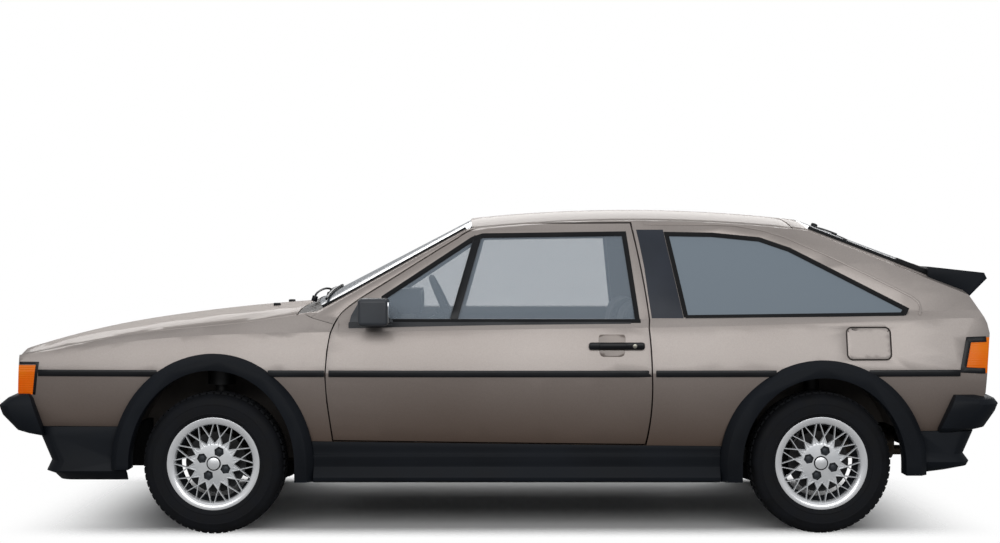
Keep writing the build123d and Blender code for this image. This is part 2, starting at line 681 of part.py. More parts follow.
# Front wings and bonnet
wing = outer & left_half & Pos(-joint, 0, 0) * wing_zone
wing &= block(-BIG, BIG, -BIG, -BONNET_JOINT_Y - joint, 0, BIG)
wing = wing - (wing_core & swept_end(NOSE_PROFILE, NOSE_PLAN_RADIUS, True, NOSE_WALL)) - wells - lamps - hulls
save("wing_left", largest(wing))
save("wing_right", mirror_y(largest(wing)))
half_lid = BONNET_JOINT_Y - joint
bonnet = outer_front & outer & block(-BIG, BONNET_REAR - joint, -half_lid, half_lid, 0, BIG)
bonnet -= bonnet_solid(BONNET_WALL)
save("bonnet", largest(bonnet))
under_lid = (Part() + bonnet_solid(BONNET_WALL + PANEL_GAP))


def buffers(x):
    """Pair of rubber rests under the bonnet, joined to the panel below the gap."""
    gap_fill = (Part() + bonnet_solid(BONNET_WALL + REST_GAP)) - bonnet_solid(BONNET_WALL + PANEL_GAP + 6)
    half = BUFFER_SIZE / 2
    pads = [block(x, x + BUFFER_SIZE, side * BUFFER_Y - half, side * BUFFER_Y + half, 0, BIG)
            for side in (-1, 1)]
    return (pads[0] + pads[1]) & gap_fill & outer


# Nose panel with the grille opening, its slats and the headlamps
nose = outer & under_lid & block(-BIG, BIG, -half_lid, half_lid, 0, BIG)
nose = nose - swept_end(NOSE_PROFILE, NOSE_PLAN_RADIUS, True, NOSE_WALL) - lamps - hulls
grille_hole = block(-BIG, -1800, -GRILLE_HALF, GRILLE_HALF, GRILLE_LOW, GRILLE_HIGH)
save("front_panel", largest((nose - grille_hole) + buffers(NOSE_BUFFER_X) - lamps))
grille_zone = nose & grille_hole
lamp_boxes = Part()
for low, high in HEADLAMPS:
    box = block(-BIG, -1800, -high, -low, GRILLE_LOW + HEADLAMP_EDGE, GRILLE_HIGH - HEADLAMP_EDGE)
    lamp_boxes += box + mirror_y(box)
slats = Part()
pitch = (GRILLE_HIGH - GRILLE_LOW) / SLAT_COUNT
for index in range(SLAT_COUNT):
    z = GRILLE_LOW + pitch * (index + 0.5)
    slats += block(-BIG, -1800, -GRILLE_HALF, GRILLE_HALF, z - SLAT_THICK / 2, z + SLAT_THICK / 2)
grille_front = grille_zone - swept_end(NOSE_PROFILE, NOSE_PLAN_RADIUS, True, 6 + SLAT_DEPTH)
grille_front &= swept_end(NOSE_PROFILE, NOSE_PLAN_RADIUS, True, 6)
grille_back = grille_zone - swept_end(NOSE_PROFILE, NOSE_PLAN_RADIUS, True, GRILLE_DEPTH)
grille_back &= swept_end(NOSE_PROFILE, NOSE_PLAN_RADIUS, True, 6 + SLAT_DEPTH)
grille = ((grille_front & slats) + grille_back) - lamp_boxes
save("grille", largest(grille))
headlamps = (grille_zone & lamp_boxes) - swept_end(NOSE_PROFILE, NOSE_PLAN_RADIUS, True, HEADLAMP_DEPTH)
headlamps &= swept_end(NOSE_PROFILE, NOSE_PLAN_RADIUS, True, 4)
save("headlamps", largest(headlamps, 4))

# Inner wheel arches and front rails, which carry the engine and the struts
front_tub = arch_prism(FRONT_AXLE_X, WHEELHOUSE_FRONT, -BONNET_JOINT_Y, -WHEELHOUSE_INNER + TUB_WALL, TUB_WALL)
front_tub &= block(-BIG, BULKHEAD_X, -BIG, 0, TYRE_RADIUS - 20, BIG) & bay_space
rear_tub = arch_prism(REAR_AXLE_X, WHEELHOUSE_REAR, -SILL_INNER, -REAR_WELL_INNER + TUB_WALL, TUB_WALL)
rear_tub &= block(-BIG, BIG, -BIG, 0, BOOT_FLOOR_BOTTOM + 10, BIG)
rail_outer = WHEELHOUSE_INNER - TUB_WALL
rail = block(RAIL_FRONT, CABIN_FRONT + RAIL_FOOT, -rail_outer, -rail_outer + RAIL_WIDTH, RAIL_LOW, RAIL_HIGH)
rail += block(CABIN_FRONT, CABIN_FRONT + RAIL_FOOT, -rail_outer, -rail_outer + RAIL_WIDTH,
              FLOOR_TOP - 1, RAIL_HIGH)
front_frame = (front_tub + rail) - wells
front_frame += mirror_y(front_frame)
rear_tubs = rear_tub + mirror_y(rear_tub)

# Windscreen, scuttle and roof
screen_foot = ThreePointArc((SCREEN_FOOT, -680), (SCREEN_FOOT - SCREEN_FOOT_BOW, 0), (SCREEN_FOOT, 680))
screen_head = ThreePointArc((SCREEN_HEAD, 560), (SCREEN_HEAD - SCREEN_HEAD_BOW, 0), (SCREEN_HEAD, -560))
screen_sides = [Line((SCREEN_FOOT, 680), (SCREEN_HEAD, 560)), Line((SCREEN_HEAD, -560), (SCREEN_FOOT, -680))]
screen_face = make_face(screen_foot.edges() + screen_head.edges() + [line.edge() for line in screen_sides])
screen_prism = extrude(Plane.XY.offset(500) * screen_face, 1000) & core
screen_slab = Part() + slope_solid(SCREEN_POINT, SCREEN_RAKE, SCREEN_RADIUS, 3, 1)
screen_slab -= slope_solid(SCREEN_POINT, SCREEN_RAKE, SCREEN_RADIUS, 3 + GLASS_THICK, 1)
windscreen = screen_slab & screen_prism & outer_cabin
save("windscreen", largest(windscreen))
over_lid = (outer - under_lid) & block(-BIG, BONNET_REAR + joint, -BIG, BIG, 0, BIG)
cowl = (panels & core & block(BULKHEAD_X, -400, -BIG, BIG, FLOOR_BOTTOM, BIG)) - screen_prism - over_lid
cowl = cowl - block(CABIN_FRONT, BIG, -BIG, BIG, 0, FLOOR_TOP) - front_frame
save("cowl", largest(cowl + buffers(COWL_BUFFER_X)))
roof = (panels & core & block(-400, HATCH_FRONT - joint, -BIG, BIG, 1000, BIG)) - screen_prism
roof = roof - door_hole - mirror_y(door_hole)
save("roof", largest(roof))

# Hatch with its glass and spoiler, and the panel below it
hatch = panels & core_gap & block(HATCH_FRONT + joint, BIG, -BIG, BIG, HATCH_LOW + joint, BIG)
glass_plan = [(x, y - PANEL_GAP - HATCH_FRAME) for x, y in GLASSHOUSE]
hatch_prism = plan_polygon(HATCH_GLASS[0], HATCH_GLASS[1], glass_plan, 1000)
save("hatch", largest(hatch - hatch_prism))
hatch_slab = Part() + slope_solid(HATCH_POINT, HATCH_RAKE, HATCH_RADIUS, 2, -1)
hatch_slab -= slope_solid(HATCH_POINT, HATCH_RAKE, HATCH_RADIUS, 2 + GLASS_THICK, -1)
save("hatch_glass", largest(hatch_slab & hatch_prism & outer_cabin))
tail_axis = Axis((TAIL_FACE - TAIL_PLAN_RADIUS, 0, 0), (0, 0, 1))
spoiler = revolve(polygon(SPOILER, side_plane(0)).rotate(tail_axis, -8), tail_axis, 16)
spoiler &= block(-BIG, BIG, -SPOILER_HALF, SPOILER_HALF, 0, BIG)
save("rear_spoiler", largest(spoiler - outer_cabin))
rear_panel = panels & core & block(REAR_PANEL_X, BIG, -BIG, BIG, 0, HATCH_LOW - joint)
for side in (-1, 1):
    hole = Plane(origin=(TAIL_X, side * REAR_PLATE_SPACING / 2, REAR_PLATE_Z), z_dir=(-1, 0, 0))
    rear_panel -= Solid.make_cylinder(PLATE_HOLE_RADIUS, REAR_HOLE_DEPTH, hole)
save("rear_panel", largest(rear_panel - hulls))

# Floor with its tunnel, inner arches and front rails
floor = panels & floor_zone & block(CABIN_FRONT, REAR_PANEL_X, -BIG, BIG, FLOOR_BOTTOM, BIG)
floor += block(CABIN_FRONT, STEP_X, -110, 110, FLOOR_TOP - 1, FLOOR_TOP + 100)
floor = (floor + rear_tubs) - wells - hulls
floor += front_frame - hulls - nose
save("floor_pan", largest(floor))

# Bumpers, aprons, skirts and flares
front_levels = [(z, TAIL_X + reach, half) for z, reach, half in FRONT_BUMPER]
rear_levels = [(z, TAIL_X + reach, half) for z, reach, half in REAR_BUMPER]
front_bumper = plan_band(-1, front_levels, BUMPER_CORNER, FRONT_BUMPER_SWEEP, FRONT_BUMPER_BACK)
front_bumper = (front_bumper & side_prism(FRONT_BUMPER_END, -BIG, BIG)) - outer - hulls
rear_bumper = plan_band(1, rear_levels, REAR_BUMPER_CORNER, REAR_BUMPER_SWEEP, REAR_BUMPER_BACK)
rear_bumper = (rear_bumper & side_prism(REAR_BUMPER_END, -BIG, BIG)) - outer - hulls
for side in (-1, 1):
    hole = Plane(origin=(NOSE_X - 10, side * FRONT_PLATE_SPACING / 2, FRONT_PLATE_Z), z_dir=(1, 0, 0))
    front_bumper -= Solid.make_cylinder(PLATE_HOLE_RADIUS, FRONT_HOLE_DEPTH, hole)
save("front_bumper", largest(front_bumper))
save("rear_bumper", largest(rear_bumper))


def flare(axle_x, arch, reach):
    """Bevelled lip around one left-hand wheel arch."""
    faces = [side_plane(y) * arch_outline(axle_x, reach, -grow)
             for y, grow in ((-ARCH_EDGE_Y, 0), (-HALF_BODY + 16, 0), (-HALF_FLARES, FLARE_BEVEL))]
    shape = loft(faces[:2], ruled=True) + loft(faces[1:], ruled=True)
    lip = arch_prism(axle_x, arch, -HALF_FLARES, -ARCH_EDGE_Y, ARCH_LIP)
    shape = (shape - outer_side) + (lip & shape)
    shape -= arch_prism(axle_x, arch, -BIG, 0)
    return largest((shape & block(-BIG, BIG, -BIG, 0, SIDE_BOTTOM + 4, BIG)) - flare_feet)


flare_feet = block(-BIG, FRONT_AXLE_X, -BIG, BIG, 0, FRONT_FLARE_FOOT)
flare_feet += block(REAR_AXLE_X, BIG, -BIG, BIG, 0, REAR_FLARE_FOOT)
flares = [flare(FRONT_AXLE_X, FRONT_ARCH, FRONT_FLARE), flare(REAR_AXLE_X, REAR_ARCH, REAR_FLARE)]
flares += [mirror_y(item) for item in flares]
save("arch_flares", Compound(children=[item.solids()[0] for item in flares]))
flare_zone = arch_prism(FRONT_AXLE_X, FRONT_FLARE, -BIG, -ARCH_EDGE_Y)
flare_zone += arch_prism(REAR_AXLE_X, REAR_FLARE, -BIG, -ARCH_EDGE_Y)
flare_zone += mirror_y(flare_zone)
flare_zone -= flare_feet
for name, hull, levels, sign, sweep, back in (
        ("front_apron", front_hull, FRONT_APRON, -1, FRONT_APRON_SWEEP, FRONT_APRON_BACK),
        ("rear_apron", rear_hull, REAR_APRON, 1, REAR_APRON_SWEEP, REAR_APRON_BACK)):
    inner = [(z, tip - APRON_WALL, half - APRON_WALL) for z, tip, half in levels]
    inner = [(inner[0][0] - 20,) + inner[0][1:]] + inner[1:-1] + [(inner[-1][0] + 20,) + inner[-1][1:]]
    hollow = plan_band(sign, inner, APRON_CORNER - APRON_WALL, sweep, back - 50)
    save(name, largest(hull - hollow - flare_zone - wells))
skirt_face = Plane.YZ.offset(SKIRT_X[0]) * make_face(Polyline(*[(-y, z) for y, z in SKIRT], close=True))
skirt_over = side_prism(SKIRT_TOP + [(SKIRT_TOP[1][0], 500), (SKIRT_TOP[0][0], 500)], -BIG, BIG)
skirt = extrude(skirt_face, SKIRT_X[1] - SKIRT_X[0]) - outer_side - flare_zone - skirt_over
save("side_skirts", both_sides(largest(skirt)))


# Wheels, modelled about their own axis along +Y with the outer face towards -Y
def lathe(points):
    """Ring from a radius and width profile, turned about the Y axis."""
    return revolve(make_face(Polyline(*points, close=True)), Axis.Y, 360)


def faceted_ring(profile, flats):
    """Ring of flat faces about the Y axis, one face down, true to its radii at the flats."""
    grow = 1 / math.cos(math.pi / flats)

    def corner(point, index):
        turn = 2 * math.pi * (index + 0.5) / flats
        return Vector(point[0] * grow * math.sin(turn), point[1], -point[0] * grow * math.cos(turn))

    faces = []
    for index in range(flats):
        for a, b in zip(profile, profile[1:] + profile[:1]):
            ring = [corner(a, index), corner(b, index), corner(b, index + 1), corner(a, index + 1)]
            faces.append(Face(Wire.make_polygon(ring)))
    return Solid(Shell(faces))


half_rim = RIM_WIDTH / 2
seat = BEAD_RADIUS
inner_seat = seat - RIM_WALL
barrel = lathe([(seat, -half_rim + 8), (FLANGE_RADIUS, -half_rim + 6), (FLANGE_RADIUS, -half_rim),
                (inner_seat, -half_rim + 3), (inner_seat - WELL_DEPTH, -20), (inner_seat - WELL_DEPTH, 25),
                (inner_seat, 45), (FLANGE_RADIUS, half_rim), (FLANGE_RADIUS, half_rim - 6),
                (seat, half_rim - 8), (seat, 40), (seat - WELL_DEPTH, 25), (seat - WELL_DEPTH, -15),
                (seat, -30)])
hub = tube_y(0, -HUB_FACE - HUB_THICK, -HUB_FACE, 0, HUB_RADIUS)
hub += tube_y(0, -HUB_FACE, DISC_Y[1], 0, HUB_RADIUS - 8)
hub += tube_y(0, DISC_Y[0], DISC_Y[1], 0, DISC_RADIUS)
spoke_out = inner_seat + 2
star_points = []
for index in range(2 * SPOKE_PAIRS):
    angle = math.pi * index / SPOKE_PAIRS
    reach = SPOKE_CROSS if index % 2 == 0 else STAR_VALLEY
    star_points.append((reach * math.cos(angle), reach * math.sin(angle)))
star = extrude(polygon(star_points, side_plane(SPOKE_FACE + SPOKE_DEPTH)), STAR_DEPTH)
half_spoke = SPOKE_THICK / 2
spoke = block(SPOKE_FOOT, spoke_out + 12, SPOKE_FACE, SPOKE_FACE + SPOKE_DEPTH, -half_spoke, half_spoke)
spokes = []
for index in range(SPOKE_PAIRS):
    for skew in (-SPOKE_SKEW, SPOKE_SKEW):
        tilted = Pos(SPOKE_CROSS, 0, 0) * Rot(0, skew, 0) * Pos(-SPOKE_CROSS, 0, 0) * spoke
        spokes.append((Rot(0, 360 * index / SPOKE_PAIRS, 0) * tilted).solids()[0])
face_disc = tube_y(0, -BIG, 0, 0, spoke_out)
spoke_set = (Part() + spokes[0].fuse(*spokes[1:])) & face_disc
rim = barrel + hub + star + spoke_set
rim -= tube_y(0, -HUB_FACE - STUB_SEAT, 0, 0, STUB_RADIUS + RUN_FIT)
for index in range(BOLT_COUNT):
    rim -= Rot(0, 360 * index / BOLT_COUNT, 0) * tube_y(BOLT_CIRCLE / 2, -BIG, 0, 0, BOLT_HOLE_RADIUS)
half_tyre = TYRE_WIDTH / 2
over_flange = FLANGE_RADIUS + BEAD_FIT
half_section = [(seat, half_rim - 26), (seat, half_rim - 8 - BEAD_FIT), (over_flange, half_rim - 6 - BEAD_FIT),
                (over_flange, half_rim - 2.5), (seat + 52, half_tyre), (TYRE_RADIUS - 30, half_tyre - 6),
                (TYRE_RADIUS - 8, half_tyre - 18), (TYRE_RADIUS, half_tyre - 32)]
section = half_section + [(r, -y) for r, y in half_section[::-1]]
section += [(TYRE_RADIUS - TREAD_WALL, -half_tyre + 30), (TYRE_RADIUS - TREAD_WALL, half_tyre - 30)]
tyre = faceted_ring(section, TYRE_FLATS)
for end, axle_x, track in (("front", FRONT_AXLE_X, TRACK_FRONT), ("rear", REAR_AXLE_X, TRACK_REAR)):
    place = Pos(axle_x, -track / 2, TYRE_RADIUS)
    save(f"rim_{end}_left", place * rim)
    save(f"rim_{end}_right", mirror_y(place * rim))
    save(f"tyre_{end}_left", place * tyre)
    save(f"tyre_{end}_right", mirror_y(place * tyre))

# Front knuckles turning on the strut foot
x = FRONT_AXLE_X
carrier = block(x - CARRIER_HALF_X, x + CARRIER_HALF_X,
                -KINGPIN_Y - CARRIER_HALF_Y, -KINGPIN_Y + CARRIER_HALF_Y, *CARRIER_Z)
carrier += tube_y(x, -TRACK_FRONT / 2, -KINGPIN_Y, TYRE_RADIUS, STUB_RADIUS + STUB_COLLAR)
carrier += tube_y(x, -TRACK_FRONT / 2 - HUB_FACE - STUB_SEAT, -KINGPIN_Y, TYRE_RADIUS, STUB_RADIUS)
arm = block(x, x + STEER_ARM, -KINGPIN_Y - 14, -KINGPIN_Y + 10, *STEER_ARM_Z)
carrier = (carrier + arm) - tube_z(x, -KINGPIN_Y, 0, 500, KINGPIN_RADIUS + RUN_FIT)
save("knuckle_left", carrier)
save("knuckle_right", mirror_y(carrier))

# Front suspension: cross-member, lower arms, strut legs and steering rack
strut_top = TYRE_RADIUS + WHEELHOUSE_FRONT[1]
strut = tube_z(x, -KINGPIN_Y, CARRIER_Z[1] + REST_GAP, strut_top, STRUT_RADIUS)
strut += tube_z(x, -KINGPIN_Y, ARM_HEIGHT - ARM_HALF, CARRIER_Z[1] + 5, KINGPIN_RADIUS)
strut += tube_z(x, -KINGPIN_Y, strut_top - STRUT_CUP, strut_top, STRUT_CUP_RADIUS)
strut += tube_z(x, -KINGPIN_Y, ARM_HEIGHT - ARM_HALF - 2, CARRIER_Z[0] - REST_GAP, 2 * KINGPIN_RADIUS)
lower_arm = block(x - 2 * ARM_HALF, x + 2 * ARM_HALF, -KINGPIN_Y, -300,
                  ARM_HEIGHT - ARM_HALF, ARM_HEIGHT + ARM_HALF)
member = block(x - 70, x + 70, -MEMBER_HALF, MEMBER_HALF, ARM_HEIGHT + 8, ARM_HEIGHT + 40)
rack = tube_y(x + STEER_ARM, -RACK_HALF, RACK_HALF, sum(STEER_ARM_Z) / 2, RACK_RADIUS)
posts = block(x - 40, x + 130, -400, -371, ARM_HEIGHT + 20, RAIL_LOW)
link = block(x - 70, x + 130, -400, -330, ARM_HEIGHT - 14, ARM_HEIGHT + 40)
half_gear = strut + lower_arm + posts + link
save("front_suspension", half_gear + mirror_y(half_gear) + member + rack - floor)

# Rear axle: beam with trailing arms and stubs
x = REAR_AXLE_X
beam = tube_y(x - BEAM_AHEAD, -560, 560, TYRE_RADIUS + 20, BEAM_RADIUS)
trail = block(STEP_X + 40, x + 30, -590, -540, *TRAIL_Z)
stub = tube_y(x, -TRACK_REAR / 2 - HUB_FACE - STUB_SEAT, -560, TYRE_RADIUS, STUB_RADIUS)
stub += tube_y(x, -TRACK_REAR / 2, -560, TYRE_RADIUS, STUB_RADIUS + STUB_COLLAR)
shock = tube_z(x, -560, TRAIL_Z[1], TYRE_RADIUS + WHEELHOUSE_REAR[1], SHOCK_RADIUS)
half_axle = trail + stub + shock
save("rear_axle", (beam + half_axle + mirror_y(half_axle)) - floor)

# Engine block and exhaust
save("engine", block(*ENGINE) - floor)
down_x = ENGINE[1] - DOWNPIPE_IN
exhaust = tube_z(down_x, EXHAUST_Y, PIPE_Z, ENGINE[4], EXHAUST_RADIUS)
exhaust += Pos(down_x, EXHAUST_Y, PIPE_Z) * Sphere(EXHAUST_RADIUS)
exhaust += rod((down_x, EXHAUST_Y, PIPE_Z), (SILENCER_X[0] + 20, EXHAUST_Y, PIPE_Z), EXHAUST_RADIUS)
exhaust += rod((SILENCER_X[0], EXHAUST_Y, SILENCER_Z), (SILENCER_X[1], EXHAUST_Y, SILENCER_Z), SILENCER_RADIUS)
tailpipe_start = (SILENCER_X[1] - 10, EXHAUST_Y, TAILPIPE_Z)
exhaust += rod(tailpipe_start, (TAILPIPE_END, EXHAUST_Y, TAILPIPE_Z), TAILPIPE_RADIUS)
bore = (TAILPIPE_END - TAILPIPE_BORE, EXHAUST_Y, TAILPIPE_Z)
exhaust -= rod(bore, (TAILPIPE_END + 1, EXHAUST_Y, TAILPIPE_Z), TAILPIPE_RADIUS - TAILPIPE_WALL)
for hanger_x, low, high in HANGERS:
    exhaust += block(hanger_x - 10, hanger_x + 10, EXHAUST_Y - 10, EXHAUST_Y + 10, low, high)
save("exhaust", exhaust)


# Seats, facia and steering wheel
def front_seat(y):
    """Seat with its base, reclined back and headrest."""
    half = SEAT_WIDTH / 2
    seat_shape = side_prism(SEAT_CUSHION, y - half, y + half) + side_prism(SEAT_BACK, y - half, y + half)
    seat_shape += block(40, 420, y - half + 40, y + half - 40, FLOOR_TOP, 380)
    seat_shape += block(*HEADREST_X, y - HEADREST_HALF, y + HEADREST_HALF, *HEADREST_Z)
    return seat_shape.solids()[0]


save("front_seats", Compound(children=[front_seat(-SEAT_Y), front_seat(SEAT_Y)]))
rear_seat = block(870, 1230, -BENCH_HALF, BENCH_HALF, BOOT_FLOOR_TOP, BENCH_TOP)
rear_seat += side_prism(BENCH_BACK, -BENCH_HALF, BENCH_HALF)
save("rear_seat", rear_seat)
facia = side_prism(FACIA, -FACIA_HALF, FACIA_HALF) + block(*BINNACLE)
facia &= cabin_space
aim = Vector(math.cos(math.radians(WHEEL_TILT)), 0, math.sin(math.radians(WHEEL_TILT)))
hub_at = Vector(*WHEEL_CENTRE) - aim * WHEEL_DISH
save("facia", facia + rod(hub_at - aim * COLUMN_LENGTH, hub_at - aim * REST_GAP, COLUMN_RADIUS))
wheel_plane = Plane(origin=WHEEL_CENTRE, z_dir=aim)
ring_radius = WHEEL_RADIUS - GRIP_RADIUS
steering_wheel = wheel_plane * Torus(ring_radius, GRIP_RADIUS)
steering_wheel += rod(hub_at, hub_at + aim * (WHEEL_DISH + 15), HORN_RADIUS)
for angle in WHEEL_SPOKES:
    spoke_arm = Rot(0, 0, angle) * Pos(ring_radius / 2, 0, 0) * Box(ring_radius, 30, 10)
    steering_wheel += wheel_plane * spoke_arm
save("steering_wheel", steering_wheel)

# Door mirrors
sail = side_prism(MIRROR_SAIL, -HALF_BODY, -600) & cabin_sides(-SAIL_THICK)
housing = fillet(block(*MIRROR).edges(), MIRROR_CORNER)
mirror_left = largest(housing + ((sail + block(*MIRROR_FOOT)) - outer))
save("mirror_left", mirror_left)
save("mirror_right", mirror_y(mirror_left))

for name in sorted(nodes):
    shape = nodes[name]
    if not shape.is_valid:
        print("INVALID", name)
print(len(nodes), "nodes")
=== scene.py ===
"""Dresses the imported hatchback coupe: paint, glass, trim, wheels, lamps and cabin."""

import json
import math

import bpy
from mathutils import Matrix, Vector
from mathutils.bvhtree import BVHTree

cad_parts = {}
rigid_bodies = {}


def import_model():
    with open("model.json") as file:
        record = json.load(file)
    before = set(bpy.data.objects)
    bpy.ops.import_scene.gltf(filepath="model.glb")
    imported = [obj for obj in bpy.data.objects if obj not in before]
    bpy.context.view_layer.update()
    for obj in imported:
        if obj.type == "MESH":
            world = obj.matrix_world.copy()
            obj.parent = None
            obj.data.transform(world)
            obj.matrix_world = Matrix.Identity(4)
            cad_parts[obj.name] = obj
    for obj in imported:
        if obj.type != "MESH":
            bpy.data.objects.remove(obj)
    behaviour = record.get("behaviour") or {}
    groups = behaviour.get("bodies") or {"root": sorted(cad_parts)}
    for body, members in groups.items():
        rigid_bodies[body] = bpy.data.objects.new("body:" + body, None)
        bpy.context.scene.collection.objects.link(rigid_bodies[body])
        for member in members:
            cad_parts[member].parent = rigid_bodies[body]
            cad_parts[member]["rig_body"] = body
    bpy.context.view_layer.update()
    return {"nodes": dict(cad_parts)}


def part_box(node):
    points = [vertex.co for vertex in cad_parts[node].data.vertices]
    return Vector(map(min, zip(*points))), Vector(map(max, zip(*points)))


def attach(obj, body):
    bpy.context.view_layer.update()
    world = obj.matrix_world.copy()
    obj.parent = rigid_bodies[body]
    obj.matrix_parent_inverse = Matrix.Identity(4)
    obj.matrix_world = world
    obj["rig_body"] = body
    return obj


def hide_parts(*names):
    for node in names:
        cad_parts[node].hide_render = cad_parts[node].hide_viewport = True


bl_info = {
    "name": "Hatchback Coupe",
    "version": (1, 0, 0),
    "blender": (4, 5, 0),
    "location": "View3D > Sidebar > Coupe",
    "description": "Adds paint, glass, trim, wheels, lamps and a cabin to the coupe's frame",
    "category": "Object",
}

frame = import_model()

# Sign of Y on each side of the car, and that side's name
SIDES = {-1: "left", 1: "right"}


# Materials

def linear(code):
    """One sRGB hex colour as linear RGBA."""
    parts = [int(code.lstrip("#")[i:i + 2], 16) / 255 for i in (0, 2, 4)]
    return [c / 12.92 if c <= 0.04045 else ((c + 0.055) / 1.055) ** 2.4 for c in parts] + [1.0]


def add(tree, kind, inputs=None, **settings):
    """Add one node with its settings, and link or set its inputs."""
    node = tree.nodes.new(kind)
    for key, value in settings.items():
        setattr(node, key, value)
    for socket, value in (inputs or {}).items():
        if isinstance(value, bpy.types.NodeSocket):
            tree.links.new(value, node.inputs[socket])
        else:
            node.inputs[socket].default_value = value
    return node


# Stops in a finish's patch noise between which its tone changes, and its roughness
TONE_STOPS = (0.36, 0.64)
WORN_STOPS = (0.3, 0.7)


def surface(name, tones, rough, patch_mm=180.0, grain_mm=2.0, depth_mm=0.05, cells=False, **sockets):
    """Finish with two tones in soft patches, roughness that follows them, and a fine relief."""
    mat = bpy.data.materials.new(name)
    mat.use_nodes = True
    tree = mat.node_tree
    shader = tree.nodes["Principled BSDF"]
    place = add(tree, "ShaderNodeTexCoord").outputs["Object"]
    patch = add(tree, "ShaderNodeTexNoise", {"Vector": place, "Scale": 1000 / patch_mm, "Detail": 4.0})
    ramp = add(tree, "ShaderNodeValToRGB", {"Fac": patch.outputs["Fac"]})
    for stop, tone, spot in zip(ramp.color_ramp.elements, tones, TONE_STOPS):
        stop.position, stop.color = spot, linear(tone)
    tree.links.new(ramp.outputs["Color"], shader.inputs["Base Color"])
    worn = add(tree, "ShaderNodeMapRange",
               {"Value": patch.outputs["Fac"], "From Min": WORN_STOPS[0], "From Max": WORN_STOPS[1],
                "To Min": rough[0], "To Max": rough[1]})
    tree.links.new(worn.outputs["Result"], shader.inputs["Roughness"])
    if cells:
        relief = add(tree, "ShaderNodeTexVoronoi", {"Vector": place, "Scale": 1000 / grain_mm},
                     feature="SMOOTH_F1").outputs["Distance"]
    else:
        relief = add(tree, "ShaderNodeTexNoise", {"Vector": place, "Scale": 1000 / grain_mm,
                                                  "Detail": 2.0}).outputs["Fac"]
    bump = add(tree, "ShaderNodeBump", {"Height": relief, "Distance": depth_mm / 1000, "Strength": 1.0})
    tree.links.new(bump.outputs["Normal"], shader.inputs["Normal"])
    for socket, value in sockets.items():
        shader.inputs[socket.replace("_", " ")].default_value = value
    return mat


def place_of(tree):
    """The Object coordinates that a finish already reads."""
    return next(n for n in tree.nodes if n.type == "TEX_COORD").outputs["Object"]


# Metallic share of the paint, and where the painted shade low on the body is full
UNSHADED_METAL, SHADED_METAL = 0.5, 0.05
FULL_SHADE = 0.4
# The painted shade ends in a line under the belt moulding and deepens from there down to the sill
SHADE_TOP = 0.639
SHADE_HEIGHTS = (0.645, 0.36)
SHADE_SHARES = (0.42, 0.86)
# Real flakes are 0.02 mm across; 1.5 mm is the finest that shows. In a metre there are then:
FLAKES = 650.0
GLINT = (0.90, 1.10)


def car_paint(name, light, dark, low_shade):
    """Metallic basecoat under clear lacquer: flakes glint, the lacquer reflects, and shade is painted low
    on the sides.
    """
    mat = surface(name, (dark, light), (0.40, 0.44), patch_mm=900.0, grain_mm=90.0, depth_mm=0.02,
                  Metallic=UNSHADED_METAL, Coat_Weight=0.15, Coat_Roughness=0.08, Specular_IOR_Level=0.15,
                  Specular_Tint=linear("#9C9085"))
    tree = mat.node_tree
    shader = tree.nodes["Principled BSDF"]
    place = place_of(tree)
    base = shader.inputs["Base Color"].links[0].from_socket
    flake = add(tree, "ShaderNodeTexVoronoi", {"Vector": place, "Scale": FLAKES})
    glint = add(tree, "ShaderNodeMapRange",
                {"Value": flake.outputs["Color"], "To Min": GLINT[0], "To Max": GLINT[1]})
    bright = add(tree, "ShaderNodeHueSaturation", {"Color": base, "Value": glint.outputs["Result"]})
    # Painted shade: low on the sides the paint turns brown and loses metal, standing in for the dark ground
    # they reflect
    height = add(tree, "ShaderNodeSeparateXYZ", {"Vector": place}).outputs["Z"]
    low = add(tree, "ShaderNodeMapRange",
              {"Value": height, "From Min": SHADE_HEIGHTS[0], "From Max": SHADE_HEIGHTS[1],
               "To Min": SHADE_SHARES[0], "To Max": SHADE_SHARES[1]})
    under = add(tree, "ShaderNodeMath", {0: height, 1: SHADE_TOP}, operation="LESS_THAN")
    share = add(tree, "ShaderNodeMath", {0: low.outputs["Result"], 1: under.outputs[0]},
                operation="MULTIPLY").outputs[0]
    film = add(tree, "ShaderNodeMix", data_type="RGBA")
    tree.links.new(share, film.inputs["Factor"])
    metal = add(tree, "ShaderNodeMapRange", {"Value": share, "From Max": FULL_SHADE,
                                             "To Min": UNSHADED_METAL, "To Max": SHADED_METAL})
    tree.links.new(metal.outputs["Result"], shader.inputs["Metallic"])
    tree.links.new(bright.outputs["Color"], film.inputs["A"])
    film.inputs["B"].default_value = linear(low_shade)
    tree.links.new(film.outputs["Result"], shader.inputs["Base Color"])
    return mat


# How flat along a pane the eye must look before its tint closes up, and how far it then does
SLANTS = (0.70, 0.93)
CLOSED_UP = 0.97


def pane(name, tone, clear, rough=0.02, slanting=False):
    """Tempered glass: tinted through its thickness, glossy, and see-through."""
    mat = surface(name, (tone, tone), (rough, rough + 0.02), patch_mm=500.0, grain_mm=90.0, depth_mm=0.01,
                  Alpha=clear, IOR=1.52)
    if slanting:
        # A long slanting look goes through much more of the tint.
        tree = mat.node_tree
        shader = tree.nodes["Principled BSDF"]
        shader.inputs["Specular IOR Level"].default_value = 0.15
        slant = add(tree, "ShaderNodeLayerWeight", {"Blend": 0.5})
        depth = add(tree, "ShaderNodeMapRange",
                    {"Value": slant.outputs["Facing"], "From Min": SLANTS[0], "From Max": SLANTS[1],
                     "To Min": clear, "To Max": CLOSED_UP})
        tree.links.new(depth.outputs["Result"], shader.inputs["Alpha"])
    mat.surface_render_method = "DITHERED"
    return mat


# Sine bands that a wave texture lays in a metre at a scale of 1
WAVE_BANDS = 3.18


